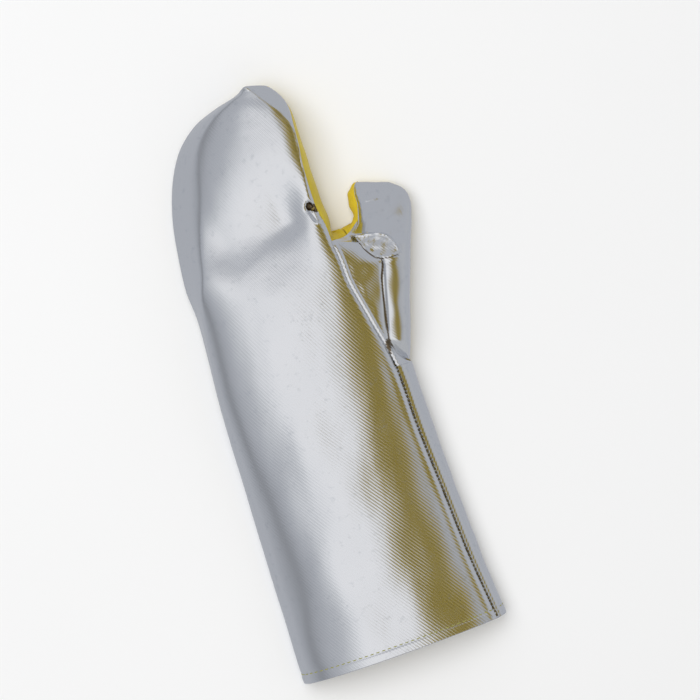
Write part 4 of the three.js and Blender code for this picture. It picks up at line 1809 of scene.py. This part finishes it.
@dataclass
class ThumbBack(SilverPanel):
    """Silver cloth of the thumb and its web, from the outer seam to the index seam."""

    name: str = "back_of_thumb"
    node: str = "thumb_back"
    stretches: tuple[float, ...] = (0, 0.5, 1)
    counts: tuple[int, ...] = (56, 56)
    breaks: tuple[float, ...] = (0, WEB_TOP, NECK, THUMB.last)
    step: float = 0.8
    measured_at: float = 0.45
    fine: int = 64
    seam_across: float = 40.0
    outer_groove: Band = Band(0, 1.4, -0.7)
    wrinkles: Wrinkles = Wrinkles(0.15, 15, 21)
    outer_calm: Span = (2, 8)
    inner_calm: Span = (4, 8)
    ridge: float = 0.8
    ridge_width: Span = (1.8, 3.0)
    ridge_end: Span = (4.7, 5.1)
    overhang: float = 0.5
    ridge_pucker: float = 0.5
    pocket: Pocket = Pocket()
    folds: tuple[Fold, ...] = (
        Fold((62, 247.6), (74, 245.6), 1.2, -0.9, 1.0),
        Fold((65, 288.4), (72, 287.8), 0.9, -0.45, 1.5),
        Fold((76, 277), (73.8, 264), 0.9, -0.3, 2.5),
        Fold((62, 243), (52.5, 205), 0.9, 0.8, 3, 1.6),
    )
    # Painted shade in the fold between web and thumb, under the pocket's outline and at the pinch
    web_crease_shade: Band = Band(0.2, 0.8, 0.9)
    crease_start: Span = (0.4, 0.9)
    crease_end: Span = (4.6, 5.0)
    crease_clear: Span = (-0.6, 0.4)
    outline_shade: float = 0.75
    pinch_shade: Fold = Fold((50.5, 196), (48.4, 187), 1.9, 1.0, 2.0)

    def surface(self, across: Array, place: Array) -> Array:
        """Over the dome to the crease, then up the web; at the wrist the tube's own side.

        The web is a straight mix of crease and seam with a parabola for its bulge. Where it
        follows the dome it is mixed with the dome's own points.

        Args:
            across: Shares across the panel.
            place: Places in the thumb's rows.

        Returns:
            Points in millimetres.
        """
        row = THUMB.at(place)
        middle = self.stretches[1]
        first = np.clip(across / middle, 0, 1)
        second = np.clip((across - middle) / (1 - middle), 0, 1)
        dome = thumb_point(place, mix(THUMB_SEAM_ANGLE, row["join_angle"], first))
        beyond = thumb_point(place, mix(row["join_angle"], SILVER_EDGE_ANGLE, second))
        weight = np.clip(row["follow"], 0, 1)
        weight = weight * (1 - second) ** np.clip(1 - row["follow"], 0, 1)
        join = thumb_point(place, row["join_angle"])
        web = mix(join, silver_edge(place), second[..., None])
        web = mix(raised(web, WEB_BULGE * 4 * second * (1 - second)), beyond, weight[..., None])
        point = chosen(across <= middle, dome, web)
        wrist = np.full_like(place, WRIST)
        seam = TUBE.at(wrist)["seam_angle"]
        side = tube_point(wrist, mix(THUMB_SEAM_ANGLE, seam, across))
        return mix(side, point, smooth(place, 0, 1)[..., None])

    def across(self, plain: Cloth) -> Array:
        """Distance across from the middle line, from which the index seam is a known way off."""
        return plain.arc[:, -1:] - plain.arc + self.seam_across

    def lift(self, plain: Cloth) -> Array:
        """Groove of the outer seam, small wrinkles and the folds.

        Args:
            plain: The smooth panel.

        Returns:
            Height over the smooth panel for each point, in millimetres.
        """
        near, far = plain.from_first(), plain.from_last()
        calm = smooth(near, *self.outer_calm) * smooth(far, *self.inner_calm)
        lift = self.outer_groove.over(near) + calm * self.wrinkles.over(plain.points)
        return lift - sum(fold.depth_at(plain.points) for fold in self.folds)

    def crease(self, plain: Cloth) -> Array:
        """Painted shade in the creases: the fold between web and thumb, under the pocket's outline and
        at the pinch.

        Args:
            plain: The smooth panel.

        Returns:
            Share of painted shade for each point, from 0 to 1.
        """
        points, places = plain.points, plain.places
        join = plain.arc[:, self.counts[0], None]
        on_web = smooth(places, *self.crease_start) * (1 - smooth(places, *self.crease_end))
        fold = self.web_crease_shade.over(plain.arc - join) * on_web[:, None]
        fold = fold * (1 - smooth(self.pocket.inside(points)[0], *self.crease_clear))
        outline = self.outline_shade * self.pocket.outline_at(points)
        return np.maximum.reduce([fold, outline, self.pinch_shade.depth_at(points)])

    def shaped(self, plain: Cloth) -> Cloth:
        """The panel with its small shapes, a flat, level ridge over the index seam, and the pocket.

        Near the edge the height becomes that of the edge itself and a little more, and the
        edge moves out over the seam, by an amount that follows the stitches as a sine.

        Args:
            plain: The smooth panel.

        Returns:
            The shaped cloth.
        """
        cloth = plain.moved(self.lift(plain))
        on_seam = 1 - smooth(cloth.places, *self.ridge_end)[:, None]
        share = (1 - smooth(cloth.from_last(), *self.ridge_width)) * on_seam
        x, y, z = np.moveaxis(cloth.points, -1, 0)
        level = mix(z, z[:, -1:] + self.ridge, share)
        out = self.overhang * share * pucker(cloth, self.ridge_pucker)
        return cloth.at(self.pocket.level(stack(x - out, y, level)))


@dataclass
class ThumbPalm(YellowPanel):
    """Yellow felt of the thumb, from the wrist seam to the thumb's tip."""

    name: str = "palm_of_thumb"
    node: str = "thumb_palm"
    stretches: tuple[float, ...] = (0, 0.3, 0.7, 1)
    counts: tuple[int, ...] = (26, 18, 14)
    breaks: tuple[float, ...] = (0, WEB_TOP, CLEFT_ROW, NECK, THUMB.last)
    step: float = 1.3
    measured_at: float = 0.15
    fine: int = 48
    inner_groove: Band = Band(0, 1.3, -0.4)
    tip_rows: Span = (THUMB.last - 1.6, THUMB.last - 0.3)

    def edge(self, place: Array) -> Array:
        """Inner edge: the palm seam, its climb to the cleft, then tucked under the silver.

        Args:
            place: Places in the thumb's rows.

        Returns:
            Points in millimetres.
        """
        flat = flat_seam(place / WEB_TOP)
        climb = climb_seam((place - WEB_TOP) / (CLEFT_ROW - WEB_TOP))
        silver = silver_edge(np.maximum(place, CLEFT_ROW))
        silver = raised(silver, -TUCK * (1 - smooth(place, CLEFT_ROW, THUMB_TUCK_END)))
        return chosen(place <= WEB_TOP, flat, chosen(place <= CLEFT_ROW, climb, silver))

    def surface(self, across: Array, place: Array) -> Array:
        """From the inner edge down and along the floor to the outer seam.

        Args:
            across: Shares across the panel.
            place: Places in the thumb's rows.

        Returns:
            Points in millimetres.
        """
        back = 1 - across
        ends = [1 - end for end in self.stretches[::-1]]
        grown = smooth(place, 0, 1)[..., None]
        angle = mix(THUMB_SEAM_ANGLE, -90, np.clip(back / ends[1], 0, 1))
        wrist = np.full_like(place, WRIST)
        outer = mix(tube_point(wrist, angle), thumb_point(place, angle), grown)
        start = mix(tube_point(wrist, -90), thumb_point(place, -90), grown)
        roll, floor, edge = THUMB_ROLL.at(place), THUMB.at(place)["floor"], self.edge(place)
        share = ((back - ends[1]) / (ends[2] - ends[1]))[..., None]
        flat = mix(start, off_edge(edge, roll, "foot", floor), share)
        up = rolled_up(edge, floor, roll, np.clip((back - ends[2]) / (ends[3] - ends[2]), 0, 1))
        return chosen(back <= ends[1], outer, chosen(back <= ends[2], flat, up))

    def lift(self, plain: Cloth) -> Array:
        """Groove along the inner edge, where it is off the floor."""
        up = smooth(plain.points[..., 2], *OFF_FLOOR)
        return up * self.inner_groove.over(plain.from_first())

    def thickness(self) -> Array:
        """Wall of each row, which thins over the last rows to the tip's."""
        return mix(PALM_CLOTH, TIP_CLOTH, smooth(self.cloth.places, *self.tip_rows))


@dataclass(frozen=True)
class Stitch:
    """One visible stitch: a short round thread that dips into the cloth at both ends."""

    length: float
    radius: float
    sink: float
    rise: float = 0.6
    taper: float = 0.96
    around: int = 5
    along: int = 5

    def shape(self) -> tuple[Array, Array, Array]:
        """Grid of a stitch: circles along a path bent like a parabola, closed at both ends.

        Returns:
            Points as (length, side, height) in millimetres, the faces round it and the caps'.
        """
        share = np.linspace(-1, 1, self.along)[:, None]
        turn = np.linspace(0, 2 * math.pi, self.around, endpoint=False)[None, :]
        girth = self.radius * np.sqrt(np.clip(1 - self.taper * share**8, 0, 1))
        middle = self.radius * self.rise - self.sink * share**2
        points = stack(share * self.length / 2, girth * np.cos(turn),
                       middle + girth * np.sin(turn)).reshape(-1, 3)
        rings = np.arange(self.along * self.around).reshape(self.along, self.around)
        sides = np.concatenate([quads_between(b, a) for a, b in zip(rings, rings[1:])])
        poles = np.array([[end * self.length / 2, 0, middle[0, 0]] for end in (-1, 1)])
        first, last = np.full(self.around, len(points)), np.full(self.around, len(points) + 1)
        caps = np.concatenate([
            np.stack([rings[0], np.roll(rings[0], -1), first], axis=1),
            np.stack([np.roll(rings[-1], -1), rings[-1], last], axis=1),
        ])
        return np.vstack([points, poles]), sides, caps


@dataclass(frozen=True)
class Sewing:
    """How a row is sewn: its distance from the cloth's edge, its pitch and its stitch."""

    inset: float
    pitch: float
    stitch: Stitch

    def along(self, cloth: Cloth, side: Side) -> tuple[Array, Array]:
        """Points and normals of the line that the row follows beside one edge of a cloth."""
        return cloth.track(side, self.inset)

    def sew(self, name: str, line: Array, normals: Array,
            thread: bpy.types.Material) -> bpy.types.Object:
        """Row of stitches along a line on the cloth, as one piece.

        Each stitch is the same small shape, turned so that its length follows the line and its
        height the cloth's normal.

        Args:
            name: Name of the piece.
            line: Points of the line in millimetres.
            normals: The cloth's normals there.
            thread: Material of the thread.

        Returns:
            The new object.
        """
        walked = walk(line)
        at = np.arange(self.pitch / 2, walked[-1] - self.pitch / 2, self.pitch)

        def read(values: Array, shift: float = 0.0) -> Array:
            """Values of the line at every stitch, or a shift ahead of it."""
            columns = [np.interp(at + shift, walked, column) for column in values.T]
            return np.stack(columns, axis=-1)

        forward = unit(read(line, LOOK_AHEAD) - read(line, -LOOK_AHEAD))
        side = unit(np.cross(unit(read(normals)), forward))
        axes = np.stack([forward, side, np.cross(forward, side)], axis=1)
        shape, quads, caps = self.stitch.shape()
        points = (np.einsum("vk,nkc->nvc", shape, axes) + read(line)[:, None, :]).reshape(-1, 3)
        shift = (np.arange(len(at)) * len(shape))[:, None, None]
        faces = (quads + shift).reshape(-1, 4).tolist() + (caps + shift).reshape(-1, 3).tolist()
        mesh = bpy.data.meshes.new(name)
        mesh.from_pydata(((points - FOOTPRINT) * MM).tolist(), [], faces)
        mesh.shade_smooth()
        mesh.materials.append(thread)
        return add_piece(mesh, Slot.FOIL)


@dataclass
class Seams:
    """Every row of stitches that shows."""

    hem: Sewing = Sewing(HEM_STITCHES, 4.0, Stitch(2.9, 0.30, 0.3))
    seam: Sewing = Sewing(0.4, SEAM_PITCH, Stitch(1.7, 0.42, 0.2))
    cuff_top: float = 183.0
    hem_shown: tuple[int, int] = (2, -2)
    side_shown: tuple[int, int] = (6, -60)
    thumb_shown: tuple[int, int] = (20, -60)

    def build(self, back: Cloth, cuff: Cloth, thumb: Cloth,
              finishes: Finishes) -> list[bpy.types.Object]:
        """Sews the rows along the panels' edges, each on the part of its line that shows.

        Args:
            back: Cloth of the back panel.
            cuff: Cloth of the underside of the cuff.
            thumb: Cloth of the silver thumb.
            finishes: The threads.

        Returns:
            The new objects.
        """
        index_line, _ = self.seam.along(back, Side.FIRST_COLUMN)
        on_cuff = (0, int((index_line[:, 1] < self.cuff_top).sum()))
        hem, seam = (self.hem, finishes.hem_thread), (self.seam, finishes.seam_thread_and_shade)
        rows = (
            ("hem_stitches_back", *hem, back, Side.FIRST_ROW, self.hem_shown),
            ("hem_stitches_under", *hem, cuff, Side.FIRST_ROW, self.hem_shown),
            ("index_seam_stitches", *seam, back, Side.FIRST_COLUMN, on_cuff),
            ("side_seam_stitches", *seam, back, Side.LAST_COLUMN, self.side_shown),
            ("thumb_seam_stitches", *seam, thumb, Side.FIRST_COLUMN, self.thumb_shown),
        )
        pieces = []
        for name, sewing, thread, cloth, side, shown in rows:
            line, normals = sewing.along(cloth, side)
            kept = slice(*shown)
            pieces.append(sewing.sew(name, line[kept], normals[kept], thread))
        return pieces


@dataclass
class Studio:
    """Pale floor, soft light all round with one warm card, and the camera above the glove."""

    floor_size: float = 6.0
    eye: Vector = (0.0139, 0.0079, 1.3)
    turn: float = -18.0
    lens: float = 100.5
    white: Colour = (0.90, 0.90, 0.915)
    soft: Colour = (0.50, 0.51, 0.525)
    cool: Colour = (0.385, 0.40, 0.43)
    dim: Colour = (0.27, 0.28, 0.30)
    clear: Colour = (0.61, 0.625, 0.65)
    bright: Colour = (0.84, 0.85, 0.87)
    pale: Colour = (0.47, 0.485, 0.52)
    warm: Colour = (0.34, 0.26, 0.05)
    umber: Colour = (0.05, 0.035, 0.012)
    backdrop: Colour = (0.83, 0.83, 0.84)
    key_power: float = 46.0
    key_size: float = 2.4
    key_place: Vector = (-0.5, 0.5, 2.4)
    key_tilt: float = -12.0

    def build(self) -> None:
        """Makes the floor, the sky of soft boxes, the key light and the camera."""
        self.make_floor()
        self.make_sky()
        self.make_key()
        self.make_camera()

    def make_floor(self) -> None:
        """A large plane just under the glove, pale and even, that the foil doesn't mirror."""
        half = self.floor_size / 2
        mesh = bpy.data.meshes.new("floor")
        mesh.from_pydata([(-half, -half, 0), (half, -half, 0), (half, half, 0), (-half, half, 0)],
                         [], [(0, 1, 2, 3)])
        floor = bpy.data.objects.new("floor", mesh)
        bpy.context.scene.collection.objects.link(floor)
        mesh.materials.append(PaleFloor().make())
        floor.visible_glossy = False
        floor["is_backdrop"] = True

    def make_sky(self) -> None:
        """World light by direction: a white soft box overhead, a warm card beside it, grey round.

        The angle from straight up towards +X picks a colour on a ramp. Far towards the
        fingertips or the hem the ramp gives way to the grey of the room, on the card's side
        later than elsewhere. The camera itself sees a plain pale backdrop.
        """
        world = bpy.data.worlds.new("studio")
        bpy.context.scene.world = world
        tree = Tree(world)
        direction = tree.add("ShaderNodeTexCoord", {}, {}, "Generated")
        x, y, z = tree.parts(direction)
        to_side = tree.add("ShaderNodeMath", {"operation": "ARCTAN2"}, {0: x, 1: z})
        share = to_side / math.pi + 0.5

        def at(degrees: float) -> float:
            """Place on the ramp of an angle from straight up."""
            return degrees / 180.0 + 0.5

        def tilt(degrees: float) -> float:
            """Share of a direction that runs along the glove at an angle off upright."""
            return math.sin(math.radians(degrees))

        ramp = tree.add("ShaderNodeValToRGB", {"stops": (
            (at(-86), self.pale), (at(-64), self.cool), (at(-50), self.dim),
            (at(-42), self.cool), (at(-31), self.pale), (at(-22), self.clear),
            (at(-15), self.bright), (at(-10), self.white), (at(5), self.white),
            (at(9), self.soft), (at(13), self.warm), (at(19), self.warm),
            (at(23), self.umber), (at(27), self.warm), (at(34), self.warm),
            (at(38), self.cool), (at(60), self.soft), (at(88), self.pale),
        )}, {0: share})
        card = share.step(at(7), at(13)) * (1.0 - share.step(at(34), at(42)))
        card = card * (1.0 - y.step(tilt(20), tilt(29)))
        far = y.step(tilt(7), tilt(18)) * share.step(at(-50), at(-30)) * (1.0 - card)
        near = (-y).step(tilt(34), tilt(50))
        sky = tree.colours(far, tree.colours(near, ramp, self.soft), self.pale)
        seen = tree.add("ShaderNodeLightPath", {}, {}, "Is Camera Ray")
        colour = tree.colours(seen, sky, self.backdrop)
        light = tree.add("ShaderNodeBackground", {}, {"Color": colour, "Strength": 1.0})
        tree.add("ShaderNodeOutputWorld", {}, {"Surface": light})

    def make_key(self) -> None:
        """Large soft light for the floor and the felt, which the foil doesn't mirror."""
        light = bpy.data.lights.new("soft_key", "AREA")
        light.shape = "RECTANGLE"
        light.size = light.size_y = self.key_size
        light.energy = self.key_power
        key = bpy.data.objects.new("soft_key", light)
        key.location = self.key_place
        key.rotation_euler = (math.radians(self.key_tilt), math.radians(self.key_tilt), 0)
        key.visible_glossy = False
        bpy.context.scene.collection.objects.link(key)

    def make_camera(self) -> None:
        """Camera straight above, turned as the photograph is."""
        lens = bpy.data.cameras.new("camera")
        lens.lens = self.lens
        lens.sensor_width = 36.0
        camera = bpy.data.objects.new("camera", lens)
        camera.location = self.eye
        camera.rotation_euler = (0, 0, math.radians(self.turn))
        bpy.context.scene.collection.objects.link(camera)
        bpy.context.scene.camera = camera
        bpy.context.scene.view_settings.view_transform = "Standard"


def write_sizes() -> None:
    """Puts the CAD box and the visual model's box into plain lists of numbers, which are not kept."""
    def plain(box: Sequence) -> list:
        """Nested lists of plain numbers."""
        return [[float(number) for number in corner] for corner in box]

    {"cad": plain(CAD_BOX), "visual": plain(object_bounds())}


def main() -> None:
    """Builds the glove panel by panel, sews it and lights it."""
    logging.basicConfig(level=logging.INFO, format="%(name)s: %(message)s")
    finishes = make_finishes()
    back, cuff, palm = BackPanel(), CuffUnderside(), PalmPanel()
    thumb, thumb_palm = ThumbBack(), ThumbPalm()
    for panel in (back, cuff, palm, thumb, thumb_palm):
        piece = panel.build()
        panel.dress(piece, finishes)
        log.info("%s: %d faces", piece.name, len(piece.data.polygons))
    for piece in Seams().build(back.cloth, cuff.cloth, thumb.cloth, finishes):
        log.info("%s: %d faces", piece.name, len(piece.data.polygons))
    Studio().build()
    write_sizes()


if __name__ == "__main__":
    main()
